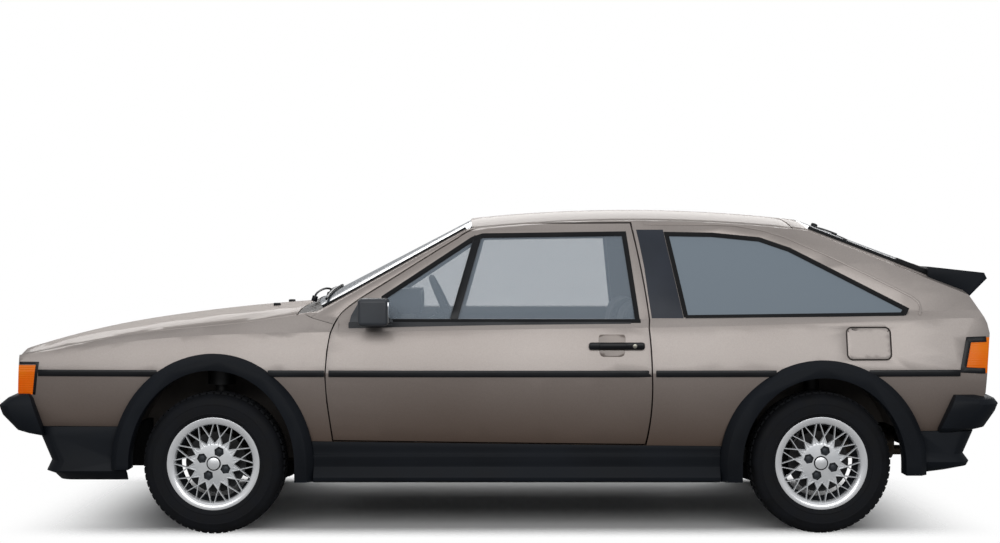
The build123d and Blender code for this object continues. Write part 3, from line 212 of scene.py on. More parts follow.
def ribbed(mat, pitch_mm, depth_mm, axis="Z"):
    """Press straight ribs into a lens or a cloth, one every pitch."""
    tree = mat.node_tree
    shader = tree.nodes["Principled BSDF"]
    wave = add(tree, "ShaderNodeTexWave",
               {"Vector": place_of(tree), "Scale": 1000 / pitch_mm / WAVE_BANDS},
               wave_type="BANDS", bands_direction=axis, wave_profile="SIN")
    old = shader.inputs["Normal"].links[0].from_socket
    bump = add(tree, "ShaderNodeBump", {"Height": wave.outputs["Fac"], "Distance": depth_mm / 1000,
                                        "Strength": 1.0, "Normal": old})
    tree.links.new(bump.outputs["Normal"], shader.inputs["Normal"])
    return mat


def woven(name, tones, thread_mm):
    """Flat-woven cloth: warp and weft threads cross at right angles and catch a soft sheen."""
    mat = surface(name, tones, (0.85, 0.95), patch_mm=25.0, grain_mm=1.6, depth_mm=0.15, Sheen_Weight=0.3)
    ribbed(mat, thread_mm, 0.5, "X")
    return ribbed(mat, thread_mm, 0.5, "Z")


FINISH = {}


def make_finishes(look):
    """All finishes, each named for its real material and how it was made; the paint, handle dish and wheel
    pockets also carry painted shade.
    """
    # Two-coat metallic acrylic: soft metallic body colour with a sharp lacquer reflection.
    FINISH["paint"] = car_paint("metallic lacquered steel", look.paint_light, look.paint_dark,
                                look.paint_dust)
    # The dish behind a handle is the same steel, lacquered thinly; its darker tone is painted shade from
    # the bar over it.
    FINISH["pocket_paint"] = surface("lacquered handle dish", ("#776C64", "#685E57"), (0.35, 0.45),
                                     Metallic=0.3, Coat_Weight=0.6)
    # Electro-dipped steel behind the panels: thin, dull body colour.
    FINISH["inner"] = surface("primed inner steel", ("#4A443F", "#3A3531"), (0.55, 0.7), Metallic=0.2)
    # Textured polypropylene: blue-black, grained by the mould, paler where the sun has bleached it.
    FINISH["plastic"] = surface("grained polypropylene", (look.plastic, "#15191F"), (0.46, 0.58),
                                patch_mm=300.0, grain_mm=1.4, depth_mm=0.10, cells=True,
                                Specular_IOR_Level=0.15)
    # Smooth ABS: deeper black with a low sheen.
    FINISH["abs"] = surface("moulded black ABS", ("#0D0E11", "#121418"), (0.28, 0.38), grain_mm=3.0,
                            Specular_IOR_Level=0.25)
    # Extruded EPDM rubber seals: dull black.
    FINISH["seal"] = surface("extruded rubber", ("#090A0C", "#0E0F12"), (0.6, 0.75), grain_mm=1.0,
                             Specular_IOR_Level=0.25)
    # Vulcanised tyre rubber: dark grey, a little paler and rougher in soft patches.
    FINISH["tyre"] = surface("vulcanised rubber", ("#0D0E11", "#14161B"), (0.7, 0.85), patch_mm=60.0,
                             grain_mm=1.5, depth_mm=0.12, Specular_IOR_Level=0.25)
    # Tempered glass with a faint grey tint.
    FINISH["glass"] = pane("tempered tinted glass", "#A9B6C2", 0.30)
    FINISH["dark_glass"] = pane("rear tinted glass", "#89959F", 0.84)
    FINISH["screen_glass"] = pane("laminated screen glass", "#46515B", 0.36, 0.08, True)
    FINISH["hatch_glass"] = pane("heated hatch glass", "#20252A", 0.72, 0.08, True)
    # Satin moulded housings of the door mirrors, a shade greyer than the bumpers.
    FINISH["housing"] = surface("satin mirror housing", ("#3B3F44", "#303338"), (0.38, 0.5))
    # Satin black film stuck over the door pillar.
    FINISH["film"] = surface("satin pillar film", ("#2B303A", "#252A33"), (0.4, 0.5),
                             Specular_IOR_Level=0.3)
    # Low-pressure cast aluminium, silver lacquered.
    FINISH["alloy"] = surface("silver lacquered cast alloy", ("#F4F5F6", "#E6E8EA"), (0.28, 0.36),
                              patch_mm=40.0, grain_mm=1.0, depth_mm=0.02, Metallic=0.4, Coat_Weight=0.5)
    # The same casting turned bright on a lathe.
    FINISH["lip"] = surface("diamond-turned alloy", ("#FAFAFB", "#F0F1F3"), (0.20, 0.26), grain_mm=4.0,
                            depth_mm=0.01, Metallic=0.35)
    # Painted shade: the bolt pockets, the bolts and the barrel behind the spokes are darkened for the shade
    # in them
    FINISH["pocket"] = surface("dark wheel pockets", ("#3C4045", "#2C2F33"), (0.5, 0.6), Metallic=0.3)
    # Zinc-plated bolts and catches.
    FINISH["zinc"] = surface("zinc-plated steel", ("#A9A79A", "#8F8D84"), (0.3, 0.45), patch_mm=12.0,
                             Metallic=1.0)
    # Vacuum-metallised lamp bowls.
    FINISH["mirror"] = surface("metallised reflector", ("#DDDEE0", "#E6E7E8"), (0.04, 0.08), Metallic=1.0)
    # Moulded PMMA lenses, ribbed on the inside.
    FINISH["amber"] = ribbed(surface("amber acrylic lens", (look.amber, "#FF8812"), (0.25, 0.32),
                                     Specular_IOR_Level=0.2), 9.0, 0.4, "Z")
    FINISH["red"] = ribbed(surface("red acrylic lens", ("#8E0E10", "#A31416"), (0.12, 0.18),
                                   Coat_Weight=1.0), 9.0, 0.5, "Z")
    FINISH["clear"] = ribbed(surface("clear fluted lens", ("#D9DEE2", "#CBD2D8"), (0.05, 0.1),
                                     Alpha=0.42, Coat_Weight=1.0), 12.0, 0.4, "Y")
    # Sprayed underseal and stoved chassis black.
    FINISH["underseal"] = surface("sprayed underseal", ("#0C0D0E", "#131313"), (0.7, 0.9), grain_mm=6.0,
                                  depth_mm=0.6, Specular_IOR_Level=0.2)
    FINISH["steel"] = surface("stoved chassis black", ("#111214", "#1A1816"), (0.45, 0.65), grain_mm=3.0,
                              Metallic=0.2)
    # Aluminised exhaust steel, browned by heat.
    FINISH["exhaust"] = surface("aluminised exhaust steel", ("#6A645C", "#4C4238"), (0.4, 0.6),
                                patch_mm=70.0, Metallic=0.9)
    # Grey iron as cast, and the die-cast covers on it.
    FINISH["iron"] = surface("grey cast iron", ("#3A3B3D", "#2B2A29"), (0.55, 0.75), grain_mm=4.0,
                             depth_mm=0.4, Metallic=0.5)
    FINISH["cast"] = surface("die-cast aluminium", ("#9A9C9E", "#84868A"), (0.35, 0.5), grain_mm=2.0,
                             depth_mm=0.1, Metallic=0.8)
    # Vinyl-skinned foam and injection-moulded cabin plastic with a leather grain.
    FINISH["vinyl"] = surface("leather-grain vinyl", ("#23262B", "#1B1D21"), (0.5, 0.62), grain_mm=5.0,
                              depth_mm=0.25, cells=True)
    FINISH["carpet"] = surface("needle-punched carpet", ("#25272B", "#1A1C1F"), (0.9, 1.0), grain_mm=3.0,
                               depth_mm=1.0)
    # Foam-backed headlining in pale grey.
    FINISH["lining"] = surface("foam-backed headlining", ("#9C9B97", "#8B8A86"), (0.85, 0.95), grain_mm=4.0,
                               depth_mm=0.3)
    FINISH["cloth"] = woven("flat-woven seat cloth", ("#33373E", "#24272C"), 4.0)
    FINISH["trim_cloth"] = woven("striped seat centre cloth", ("#4A4F57", "#363A41"), 6.0)
    # Pressed aluminium plate blanks with a plain off-white film.
    FINISH["plate"] = surface("plain plate film", ("#D6D6D0", "#CFCFC8"), (0.25, 0.35), grain_mm=8.0)


# Shaping

# Edges sharper than the first angle are rolled over; faces that meet flatter than the second shade as one
BEVEL_ABOVE = math.radians(32)
SMOOTH_BELOW = math.radians(38)
# Points closer than this are one point
MERGE = 0.0001


def clear():
    """Object mode with nothing selected."""
    if bpy.context.object and bpy.context.object.mode != "OBJECT":
        bpy.ops.object.mode_set(mode="OBJECT")
    bpy.ops.object.select_all(action="DESELECT")


def only(obj):
    """Select and activate one object."""
    clear()
    obj.select_set(True)
    bpy.context.view_layer.objects.active = obj
    return obj


def edit(obj):
    """Enter edit mode on one object, with all of it selected."""
    only(obj)
    bpy.ops.object.mode_set(mode="EDIT")
    bpy.ops.mesh.select_all(action="SELECT")


def settle(obj, name):
    """Name the object and put its place into the mesh, so that it sits at the origin."""
    only(obj)
    bpy.ops.object.transform_apply(location=True, rotation=True, scale=True)
    obj.name = obj.data.name = name
    return obj


def modify(obj, kind, **settings):
    """Add a modifier and apply it."""
    only(obj)
    step = obj.modifiers.new(kind.title(), kind)
    for key, value in settings.items():
        setattr(step, key, value)
    bpy.ops.object.modifier_apply(modifier=step.name)
    return obj


def smooth(obj, angle=SMOOTH_BELOW):
    """Shade faces that meet flatter than an angle as one."""
    only(obj)
    bpy.ops.object.shade_smooth_by_angle(angle=angle)
    return obj


def rounded(obj, radius, segments=2):
    """Bevel the sharp edges and shade the rest smooth."""
    if radius:
        modify(obj, "BEVEL", width=radius, segments=segments, limit_method="ANGLE",
               angle_limit=BEVEL_ABOVE, use_clamp_overlap=True)
    return smooth(obj)


def wear(obj, *finishes):
    """Give the piece its material slots."""
    obj.data.materials.clear()
    for finish in finishes:
        obj.data.materials.append(FINISH[finish])
    return obj


def brick(name, low, high, radius=0.003, finish="abs"):
    """Box from corner to corner with rounded edges."""
    low, high = Vector(low), Vector(high)
    clear()
    bpy.ops.mesh.primitive_cube_add(size=1, location=(low + high) / 2, scale=high - low)
    return wear(rounded(settle(bpy.context.object, name), radius), finish)


def drum(name, centre, axis, radius, depth, finish="abs", steps=32, edge=0.002):
    """Short cylinder round an axis, with rounded rims."""
    clear()
    bpy.ops.mesh.primitive_cylinder_add(vertices=steps, radius=radius, depth=depth, location=centre,
                                        rotation=Vector(axis).to_track_quat("Z", "Y").to_euler())
    return wear(rounded(settle(bpy.context.object, name), edge), finish)


def drawn(name, points):
    """Open line of vertices, extruded from point to point."""
    clear()
    bpy.ops.mesh.primitive_plane_add(size=0.001, location=points[0])
    obj = settle(bpy.context.object, name)
    edit(obj)
    bpy.ops.mesh.merge(type="CENTER")
    for a, b in zip(points, points[1:]):
        step = Vector(b) - Vector(a)
        bpy.ops.mesh.extrude_region_move(TRANSFORM_OT_translate={"value": step})
    return obj


def plate(name, outline, push, radius=0.0, finish="abs"):
    """Closed outline, filled and pushed out into a slab."""
    obj = drawn(name, [Vector(p) for p in outline])
    bpy.ops.mesh.select_all(action="SELECT")
    bpy.ops.mesh.edge_face_add()
    bpy.ops.mesh.select_all(action="SELECT")
    bpy.ops.mesh.extrude_region_move(TRANSFORM_OT_translate={"value": Vector(push)})
    bpy.ops.mesh.select_all(action="SELECT")
    bpy.ops.mesh.normals_make_consistent(inside=False)
    clear()
    return wear(rounded(obj, radius), finish)


def spun(name, profile, steps=48, finish="alloy"):
    """Profile of (radius, y) points turned round the Y axis."""
    obj = drawn(name, [Vector((r, y, 0)) for r, y in profile])
    bpy.ops.mesh.select_all(action="SELECT")
    bpy.ops.mesh.spin(steps=steps, angle=math.tau, center=(0, 0, 0), axis=(0, 1, 0))
    bpy.ops.mesh.select_all(action="SELECT")
    bpy.ops.mesh.remove_doubles(threshold=MERGE / 2)
    bpy.ops.mesh.normals_make_consistent(inside=False)
    clear()
    return wear(smooth(obj), finish)


def tube(name, points, radius, finish="steel", sides=4):
    """Bent bar or pipe along a smooth line through control points."""
    clear()
    data = bpy.data.curves.new(name, "CURVE")
    data.dimensions, data.bevel_depth, data.bevel_resolution = "3D", radius, sides
    data.use_fill_caps = True
    line = data.splines.new("NURBS")
    line.points.add(len(points) - 1)
    for dot, place in zip(line.points, points):
        dot.co = (*place, 1.0)
    line.order_u, line.use_endpoint_u = min(3, len(points)), True
    obj = bpy.data.objects.new(name, data)
    bpy.context.scene.collection.objects.link(obj)
    only(obj)
    bpy.ops.object.convert(target="MESH")
    return wear(smooth(settle(bpy.context.object, name)), finish)


def joined(name, parts):
    """Several meshes as one piece, keeping their materials."""
    clear()
    for part in parts:
        part.select_set(True)
    bpy.context.view_layer.objects.active = parts[0]
    bpy.ops.object.join()
    parts[0].name = parts[0].data.name = name
    return parts[0]


def copied(obj, name, matrix):
    """Copy with its own mesh, moved by a matrix; a mirrored one has its faces turned back."""
    new = bpy.data.objects.new(name, obj.data.copy())
    new.data.name = name
    bpy.context.scene.collection.objects.link(new)
    new.data.transform(matrix)
    if matrix.determinant() < 0:
        new.data.flip_normals()
    return new


def mirrored(obj, name):
    """The same piece for the other side."""
    return copied(obj, name, Matrix.Scale(-1, 4, (0, 1, 0)))


def skin_of(*names):
    """Search tree over the faces of CAD nodes."""
    points, faces = [], []
    for name in names:
        mesh = frame["nodes"][name].data
        start = len(points)
        points += [v.co.copy() for v in mesh.vertices]
        faces += [[start + i for i in p.vertices] for p in mesh.polygons]
    return BVHTree.FromPolygons(points, faces)


# A search for the skin starts this far out or up, and a hit nearer the middle than this went through a gap
OUTSIDE, ABOVE = 1.5, 2.0
TOO_DEEP = 0.3
# Where a search that fell into a gap looks next to it
NEARBY = ((0.01, 0), (-0.01, 0), (0, 0.01), (0, -0.01), (0.02, 0), (-0.02, 0))


def skin_y(skin, side, x, z):
    """Where the side surface lies at a place in side view."""
    for steps in (((0, 0),), NEARBY):
        hits = [skin.ray_cast(Vector((x + dx, side * OUTSIDE, z + dz)), Vector((0, -side, 0)))[0]
                for dx, dz in steps]
        hits = [hit.y for hit in hits if hit is not None and abs(hit.y) >= TOO_DEEP]
        if hits:
            return max(hits, key=abs)
    raise RuntimeError(f"no side surface at {x:.3f}, {z:.3f}")


def band(name, rows, skin, side, lift, sink, radius=0.001, finish="seal"):
    """Strip on the side surface: rows of side-view points across it, laid on, then given a thickness."""
    width = len(rows[0])
    clear()
    bpy.ops.mesh.primitive_plane_add(size=0.001)
    obj = bpy.context.object
    obj.name = name
    mesh = bpy.data.meshes.new(name)
    points = [Vector((x, skin_y(skin, side, x, z) + side * lift, z)) for row in rows for x, z in row]
    faces = []
    for i in range(len(rows) - 1):
        for j in range(width - 1):
            a = i * width + j
            faces.append((a, a + 1, a + width + 1, a + width))
    mesh.from_pydata(points, [], faces)
    old, obj.data = obj.data, mesh
    bpy.data.meshes.remove(old)
    obj.data.name = name
    edit(obj)
    bpy.ops.mesh.remove_doubles(threshold=MERGE)
    bpy.ops.mesh.normals_make_consistent(inside=False)
    clear()
    if sum(p.normal.y * side for p in obj.data.polygons) < 0:
        obj.data.flip_normals()
    modify(obj, "SOLIDIFY", thickness=lift + sink, offset=-1.0)
    return wear(rounded(obj, radius), finish)


# Cosine past which a corner is mitred no further
MITRE_LIMIT = 0.35


def across(line, width, shift=0.0):
    """Rows of two points, one each side of a side-view line, mitred at its corners."""
    points = [Vector(p) for p in line]
    ways = [(b - a).normalized() for a, b in zip(points, points[1:])]
    rows = []
    for i, point in enumerate(points):
        sideways = [Vector((-way.y, way.x)) for way in ways[max(i - 1, 0):i + 1]]
        over = sum(sideways, Vector((0, 0))).normalized()
        over *= 1 / max(MITRE_LIMIT, over.dot(sideways[0]))
        rows.append([tuple(point + over * (shift + reach)) for reach in (-width / 2, width / 2)])
    return rows


def divided_run(low, high, parts):
    """Evenly spaced numbers from low to high."""
    return [low + (high - low) * i / parts for i in range(parts + 1)]


def divided(line, step):
    """More points along a side-view line, no further apart than a step."""
    out = [line[0]]
    for a, b in zip(line, line[1:]):
        parts = max(1, math.ceil(math.dist(a, b) / step))
        out += [tuple(Vector(a).lerp(Vector(b), i / parts)) for i in range(1, parts + 1)]
    return out


# Sizes and colours a user would change

def colour(name, text, code):
    """One sRGB hex colour that a user may change."""
    return bpy.props.StringProperty(name=name, description=text, default=code)


def length(name, text, metres, **limits):
    """One small size in metres that a user may change."""
    return bpy.props.FloatProperty(name=name, description=text, default=metres, unit="LENGTH", **limits)


def power(name, text, amount):
    """One light's power or strength."""
    return bpy.props.FloatProperty(name=name, description=text, default=amount, min=0.0)


def count(name, text, number, low, high):
    """How often a form repeats."""
    return bpy.props.IntProperty(name=name, description=text, default=number, min=low, max=high)


class CoupeLook(bpy.types.PropertyGroup):
    """Colours and small sizes of the dressed coupe."""
    paint_light: colour("Paint, light tone", "Brighter tone of the metallic paint", "#AAA29D")
    paint_dark: colour("Paint, dark tone", "Deeper tone of the metallic paint", "#9C948F")
    # Colour of the painted shade low on the body, for the dark ground that the lower sides reflect
    paint_dust: colour("Painted low shade", "Brown shade painted low on the body", "#4C382A")
    plastic: colour("Plastic", "Bumpers, flares and skirts", "#101318")
    amber: colour("Amber lens", "Turn and marker lenses", "#FF6A00")
    edge: length("Panel edge", "Radius rolled on the panel edges", 0.0025, min=0.0, max=0.01)
    belt_height: length("Belt moulding height", "Middle of the side moulding above the road", 0.638)
    belt_width: length("Belt moulding width", "Height of the side moulding", 0.026)
    spokes: count("Spoke pairs", "Crossing spoke pairs in each wheel", 16, 6, 30)
    treads: count("Tread pitches", "Block rows round each tyre", 62, 20, 90)
    top_power: power("Top light", "Power of the soft box above", 75.0)
    side_power: power("Side lights", "Power of each long box beside the car", 225.0)
    air_power: power("Air light", "Strength of the even light all round", 0.38)


# Pieces

PANELS = {
    "paint": ("bonnet", "door_left", "door_right", "front_panel", "fuel_flap", "hatch", "rear_panel",
              "roof", "side_frame_left", "side_frame_right", "wing_left", "wing_right"),
    "plastic": ("arch_flares", "front_apron", "front_bumper", "rear_apron", "rear_bumper", "rear_spoiler",
                "side_skirts", "grille"),
    "inner": ("cowl", "floor_pan"),
    "steel": ("front_suspension", "rear_axle"),
    "iron": ("engine", "knuckle_left", "knuckle_right"),
    "exhaust": ("exhaust",),
    "vinyl": ("facia", "steering_wheel"),
    "glass": ("door_glass_left", "door_glass_right"),
    "screen_glass": ("windscreen",),
    "dark_glass": ("quarter_glass",),
    "hatch_glass": ("hatch_glass",),
    "housing": ("mirror_left", "mirror_right"),
    "clear": ("headlamps",),
    "amber": ("indicators", "tail_lamps"),
}
# Finishes whose nodes get rolled edges, and nodes among them that stay as they are
SOFT_EDGED = ("paint", "plastic", "vinyl", "housing")
KEPT_SHARP = ("grille",)
# Seams of a CAD mesh closer than this are merged, and faces flatter than this become one
SEAM = 0.00002
FLAT = math.radians(0.4)
# One face over the flap's curved skin would lie off the panel round it
KEPT_FACETS = ("fuel_flap",)


def softened(node, radius, finish):
    """Copy of a CAD panel with its seams merged and its edges rolled over, in place of the node."""
    source = frame["nodes"][node]
    obj = bpy.data.objects.new(node + "_dressed", source.data.copy())
    bpy.context.scene.collection.objects.link(obj)
    edit(obj)
    bpy.ops.mesh.remove_doubles(threshold=SEAM)
    if node not in KEPT_FACETS:
        bpy.ops.mesh.dissolve_limited(angle_limit=FLAT)
    clear()
    wear(rounded(obj, radius), finish)
    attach(obj, source["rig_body"])
    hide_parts(node)
    return obj


class COUPE_OT_panels(bpy.types.Operator):
    """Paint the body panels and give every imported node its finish"""
    bl_idname = "coupe.panels"
    bl_label = "Body panels"

    def execute(self, context):
        look = context.scene.coupe_look
        make_finishes(look)
        for finish, nodes in PANELS.items():
            for node in nodes:
                if finish in SOFT_EDGED and node not in KEPT_SHARP:
                    softened(node, look.edge, finish)
                else:
                    wear(frame["nodes"][node], finish)
        return {"FINISHED"}


# Runs of the belt moulding: its name, the CAD node it lies on, its body, and its two ends along the car
BELT_RUNS = (("front", "wing_{}", "body", -1.826, -1.352),
             ("wing", "wing_{}", "body", -0.912, -0.690),
             ("door", "door_{}", "{}_door", -0.673, 0.596),
             ("quarter", "side_frame_{}", "body", 0.612, 1.086),
             ("tail", "side_frame_{}", "body", 1.455, 1.817))
BELT_STEP = 0.05
# How far the moulding stands proud, how deep it is rooted, and where its crown begins (share of its half)
BELT_PROUD, BELT_ROOT, BELT_CROWN = 0.006, 0.002, 0.35


class COUPE_OT_belt(bpy.types.Operator):
    """Lay the rubber moulding along each side of the body"""
    bl_idname = "coupe.belt"
    bl_label = "Belt moulding"

    def execute(self, context):
        look = context.scene.coupe_look
        z, half = look.belt_height, look.belt_width / 2
        levels = (z - half, z - half * BELT_CROWN, z + half * BELT_CROWN, z + half)
        for side, which in SIDES.items():
            for place, node, body, start, end in BELT_RUNS:
                rows = [[(x, level) for level in levels]
                        for x, _ in divided([(start, z), (end, z)], BELT_STEP)]
                run = band(f"belt_{place}_{which}", rows, skin_of(node.format(which)), side, BELT_PROUD,
                           BELT_ROOT, 0.002, "abs")
                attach(run, body.format(which))
        return {"FINISHED"}


# Outlines on the body side, as (x, z) in metres
DOOR_WINDOW = ((-0.466, 0.848), (-0.466, 0.935), (-0.112, 1.170), (-0.070, 1.184), (0.505, 1.192),
               (0.548, 0.848))
DOOR_SILL = ((-0.475, 0.842), (0.558, 0.842))
DOOR_BAR = ((-0.184, 0.848), (-0.090, 1.180))
QUARTER = ((0.737, 0.856), (0.672, 1.191), (0.860, 1.188), (1.052, 1.169), (1.172, 1.127), (1.628, 0.888),
           (1.612, 0.866))
QUARTER_SILL = (QUARTER[-1], QUARTER[0])
RECESS = ((0.585, 1.231), (0.800, 1.230), (0.948, 1.226), (1.060, 1.208), (1.150, 1.180), (1.316, 1.107),
          (1.500, 1.016), (1.650, 0.938), (1.678, 0.915), (1.684, 0.890), (1.672, 0.864))
# The pillar cover's heights, and its front and rear edge at each
PILLAR = ((0.852, 0.603, 0.730), (0.950, 0.591, 0.711), (1.053, 0.580, 0.691), (1.150, 0.564, 0.672),
          (1.206, 0.553, 0.662))
# Lines that the black lamp surrounds follow
TAIL_SURROUND = ((1.936, 0.646), (1.900, 0.646), (1.829, 0.650), (1.858, 0.768), (1.930, 0.770))
NOSE_SURROUND = ((-1.902, 0.676), (-1.830, 0.676), (-1.844, 0.551))


# Strips: how wide each is, then how far it stands proud and how deep it is rooted
SILL_WIDTH, BAR_WIDTH, BEAD_WIDTH = 0.015, 0.030, 0.009
SEAL_SEAT = (0.002, 0.004)
BAR_SEAT = (0.002, 0.002)
THIN_SEAT = (0.0015, 0.001)
BEAD_SEAT = (0.0025, 0.001)
# Width of each window seal on the frame, and on the glass
DOOR_SEAL, QUARTER_SEAL, QUARTER_SILL_SEAL = (0.007, 0.012), (0.006, 0.012), (0.004, 0.008)
# The line on a seal's crown is this wide
CROWN = 0.003
STRIP_STEP = 0.04


def shown_rows(line, width, shift=0.0, step=STRIP_STEP):
    """Two-point rows along a side-view line."""
    return across(divided(line, step), width, shift)


def seal_rows(line, outside, inside):
    """Rows across a window's edge: two points on the frame, then down on to the glass."""
    edges = shown_rows(line, outside + inside, (outside - inside) / 2)
    return [[inner, rim, outer] for (inner, outer), (_, rim) in zip(edges, shown_rows(line, CROWN))]


class COUPE_OT_window_trim(bpy.types.Operator):
    """Seal the side windows and cover the pillar between them"""
    bl_idname = "coupe.window_trim"
    bl_label = "Window trim"

    def execute(self, context):
        for side, which in SIDES.items():
            door, frame_side = skin_of("door_" + which), skin_of("side_frame_" + which)
            opening = skin_of("door_" + which, "door_glass_" + which)
            seal = [band("seal", seal_rows(DOOR_WINDOW, *DOOR_SEAL), opening, side, *SEAL_SEAT, 0.0),
                    band("sill", shown_rows(DOOR_SILL, SILL_WIDTH), door, side, *SEAL_SEAT)]
            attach(joined("window_seal_" + which, seal), which + "_door")
            bar = band("window_bar_" + which, shown_rows(DOOR_BAR, BAR_WIDTH), door, side, *BAR_SEAT,
                       finish="abs")
            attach(bar, which + "_door")
            opening = skin_of("side_frame_" + which, "quarter_glass")
            seal = [band("seal", seal_rows(QUARTER, *QUARTER_SEAL), opening, side, *SEAL_SEAT, 0.0),
                    band("sill", seal_rows(QUARTER_SILL, *QUARTER_SILL_SEAL), opening, side, *SEAL_SEAT,
                         0.0)]
            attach(joined("quarter_seal_" + which, seal), "body")
            rows = [[(front, z), ((front + rear) / 2, z), (rear, z)] for z, front, rear in PILLAR]
            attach(band("pillar_cover_" + which, rows, frame_side, side, *THIN_SEAT, 0.0006, "film"),
                    "body")
            bead = band("recess_bead_" + which, shown_rows(RECESS, BEAD_WIDTH), frame_side, side,
                        *BEAD_SEAT, finish="paint")
            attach(bead, "body")
        return {"FINISHED"}


# Splash panels inboard of the wheels: their distance from the middle, and their (x, z) outlines
SPLASH = {"front": (0.400, ((-1.560, 0.222), (-1.445, 0.222), (-1.440, 0.300), (-1.440, 0.440),
                            (-1.560, 0.440))),
          "rear": (0.540, ((0.930, 0.195), (1.040, 0.195), (1.050, 0.260), (1.050, 0.440), (0.930, 0.440)))}
SPLASH_SHEET = 0.003


class COUPE_OT_splash_panels(bpy.types.Operator):
    """Hang the splash panels that close the wheel arches towards the middle"""
    bl_idname = "coupe.splash_panels"
    bl_label = "Splash panels"

    def execute(self, context):
        for end, (inboard, outline) in SPLASH.items():
            for side, which in SIDES.items():
                panel = plate(f"splash_panel_{end}_{which}", [(x, side * inboard, z) for x, z in outline],
                              (0, side * SPLASH_SHEET, 0), 0.001, "underseal")
                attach(panel, "body")
        return {"FINISHED"}


# Side view of each wheelhouse: axle x, half length and height over the axle, and the wall's outer end
HOUSE = {"front": (-1.1300, 0.358, 0.392, 0.699), "rear": (1.2700, 0.333, 0.362, 0.689)}
AXLE_HEIGHT = 0.280
# The liner's inner and outer face, out from the wheelhouse's own, and how far from the middle it ends
LINER_FACES = (0.001, 0.004)
LINER_END = 0.758
LINER_STEPS = 36


def arch_line(axle, half, height, grow):
    """Half an ellipse over an axle in side view, from back to front."""
    turns = (math.pi * step / LINER_STEPS for step in range(LINER_STEPS + 1))
    return [(axle + (half + grow) * math.cos(turn), AXLE_HEIGHT + (height + grow) * math.sin(turn))
            for turn in turns]


class COUPE_OT_arch_liners(bpy.types.Operator):
    """Carry the wheelhouse walls out to the skin"""
    bl_idname = "coupe.arch_liners"
    bl_label = "Arch liners"

    def execute(self, context):
        for end, (axle, half, height, wall) in HOUSE.items():
            inner, outer = (arch_line(axle, half, height, grow) for grow in LINER_FACES)
            ring = inner + outer[::-1]
            for side, which in SIDES.items():
                liner = plate(f"arch_liner_{end}_{which}", [(x, side * wall, z) for x, z in ring],
                              (0, side * (LINER_END - wall), 0), 0.0, "underseal")
                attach(liner, "body")
        return {"FINISHED"}


# The door handle stands on the skin at this place in side view
HANDLE = (0.46, 0.745)
# The dish behind it narrows towards its bottom corners: heights and half widths about its middle
DISH_MIDDLE = 0.441
DISH = ((0.704, 0.036), (0.709, 0.045), (0.720, 0.050), (0.750, 0.053), (0.778, 0.053), (0.786, 0.050),
        (0.790, 0.044))
# Bar and paddle: ends along the car, bottom and top, inner and outer face off the skin, edge radius
HANDLE_BLOCKS = {"bar": (0.349, 0.569, 0.731, 0.760, 0.0, 0.020, 0.0085),
                 "paddle": (0.388, 0.500, 0.735, 0.756, 0.012, 0.0235, 0.005)}
LOCK_AT, LOCK_OUT, LOCK_RADIUS, LOCK_DEPTH = (0.529, 0.7455), 0.0215, 0.0085, 0.004


class COUPE_OT_handles(bpy.types.Operator):
    """Set a pull handle into each door"""
    bl_idname = "coupe.handles"
    bl_label = "Door handles"

    def execute(self, context):
        for side, which in SIDES.items():
            skin = skin_of("door_" + which)
            y = skin_y(skin, side, *HANDLE)
            rows = [[(x, z) for x in divided_run(DISH_MIDDLE - half, DISH_MIDDLE + half, 4)]
                    for z, half in DISH]
            # The dish is painted darker than the door: painted shade in the recess under the bar
            parts = [band("dish", rows, skin, side, *THIN_SEAT, 0.0004, "pocket_paint")]
            for name, (x0, x1, z0, z1, inner, outer, edge) in HANDLE_BLOCKS.items():
                low, high = sorted((y + side * inner, y + side * outer))
                parts.append(brick(name, (x0, low, z0), (x1, high, z1), edge, "abs"))
            parts.append(drum("lock", (LOCK_AT[0], y + side * LOCK_OUT, LOCK_AT[1]), (0, 1, 0), LOCK_RADIUS,
                              LOCK_DEPTH, "zinc", 24, 0.001))
            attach(joined("door_handle_" + which, parts), which + "_door")
        return {"FINISHED"}


# Profiles of the wheel and the tyre, as (radius, y) with the outer face towards -Y
RIM = ((0.1515, -0.030), (0.1520, -0.046), (0.1545, -0.060), (0.1560, -0.0655), (0.1600, -0.0700),
       (0.1700, -0.0735), (0.1780, -0.0755), (0.1825, -0.0745), (0.1830, -0.0690), (0.178, -0.0670),
       (0.166, -0.0620), (0.164, -0.030), (0.150, -0.010), (0.149, 0.025), (0.163, 0.045), (0.168, 0.068),
       (0.183, 0.070), (0.183, 0.075), (0.170, 0.0745), (0.157, 0.050), (0.142, 0.022), (0.143, -0.012))
HUB = ((0.0005, -0.0640), (0.070, -0.0635), (0.078, -0.0615), (0.080, -0.0480), (0.040, -0.0440),
       (0.0005, -0.0440))
CARCASS = ((0.167, 0.060), (0.167, 0.070), (0.1838, 0.0735), (0.186, 0.0800), (0.196, 0.0850),
           (0.1975, 0.0862), (0.200, 0.0862), (0.2015, 0.0852), (0.218, 0.0872), (0.232, 0.0870),
           (0.2335, 0.0880), (0.236, 0.0880), (0.2375, 0.0868), (0.252, 0.0830), (0.262, 0.0765),
           (0.270, 0.066), (0.2735, 0.054), (0.2745, 0.030))
CAP = ((0.0005, -0.0705), (0.020, -0.0698), (0.0235, -0.0680), (0.0235, -0.0600))
CAP_RING = ((0.0235, -0.0650), (0.0240, -0.0668), (0.0275, -0.0664), (0.0282, -0.0645), (0.0282, -0.0600))
BRAKE_DISC = ((0.060, -0.012), (0.120, -0.012), (0.120, -0.002), (0.060, -0.002), (0.060, -0.012))
STEM = ((0.0005, -0.046), (0.062, -0.046), (0.064, -0.012), (0.064, -0.002), (0.040, 0.002))
# The turned lip lies out here on the rim, and in here the barrel behind the spokes carries painted shade
LIP_FROM = (0.155, -0.058)
BARREL_TO = (0.158, -0.045)
BOLTS = 4
BOLT_CIRCLE = 0.051
FIRST_BOLT = math.radians(11.25)
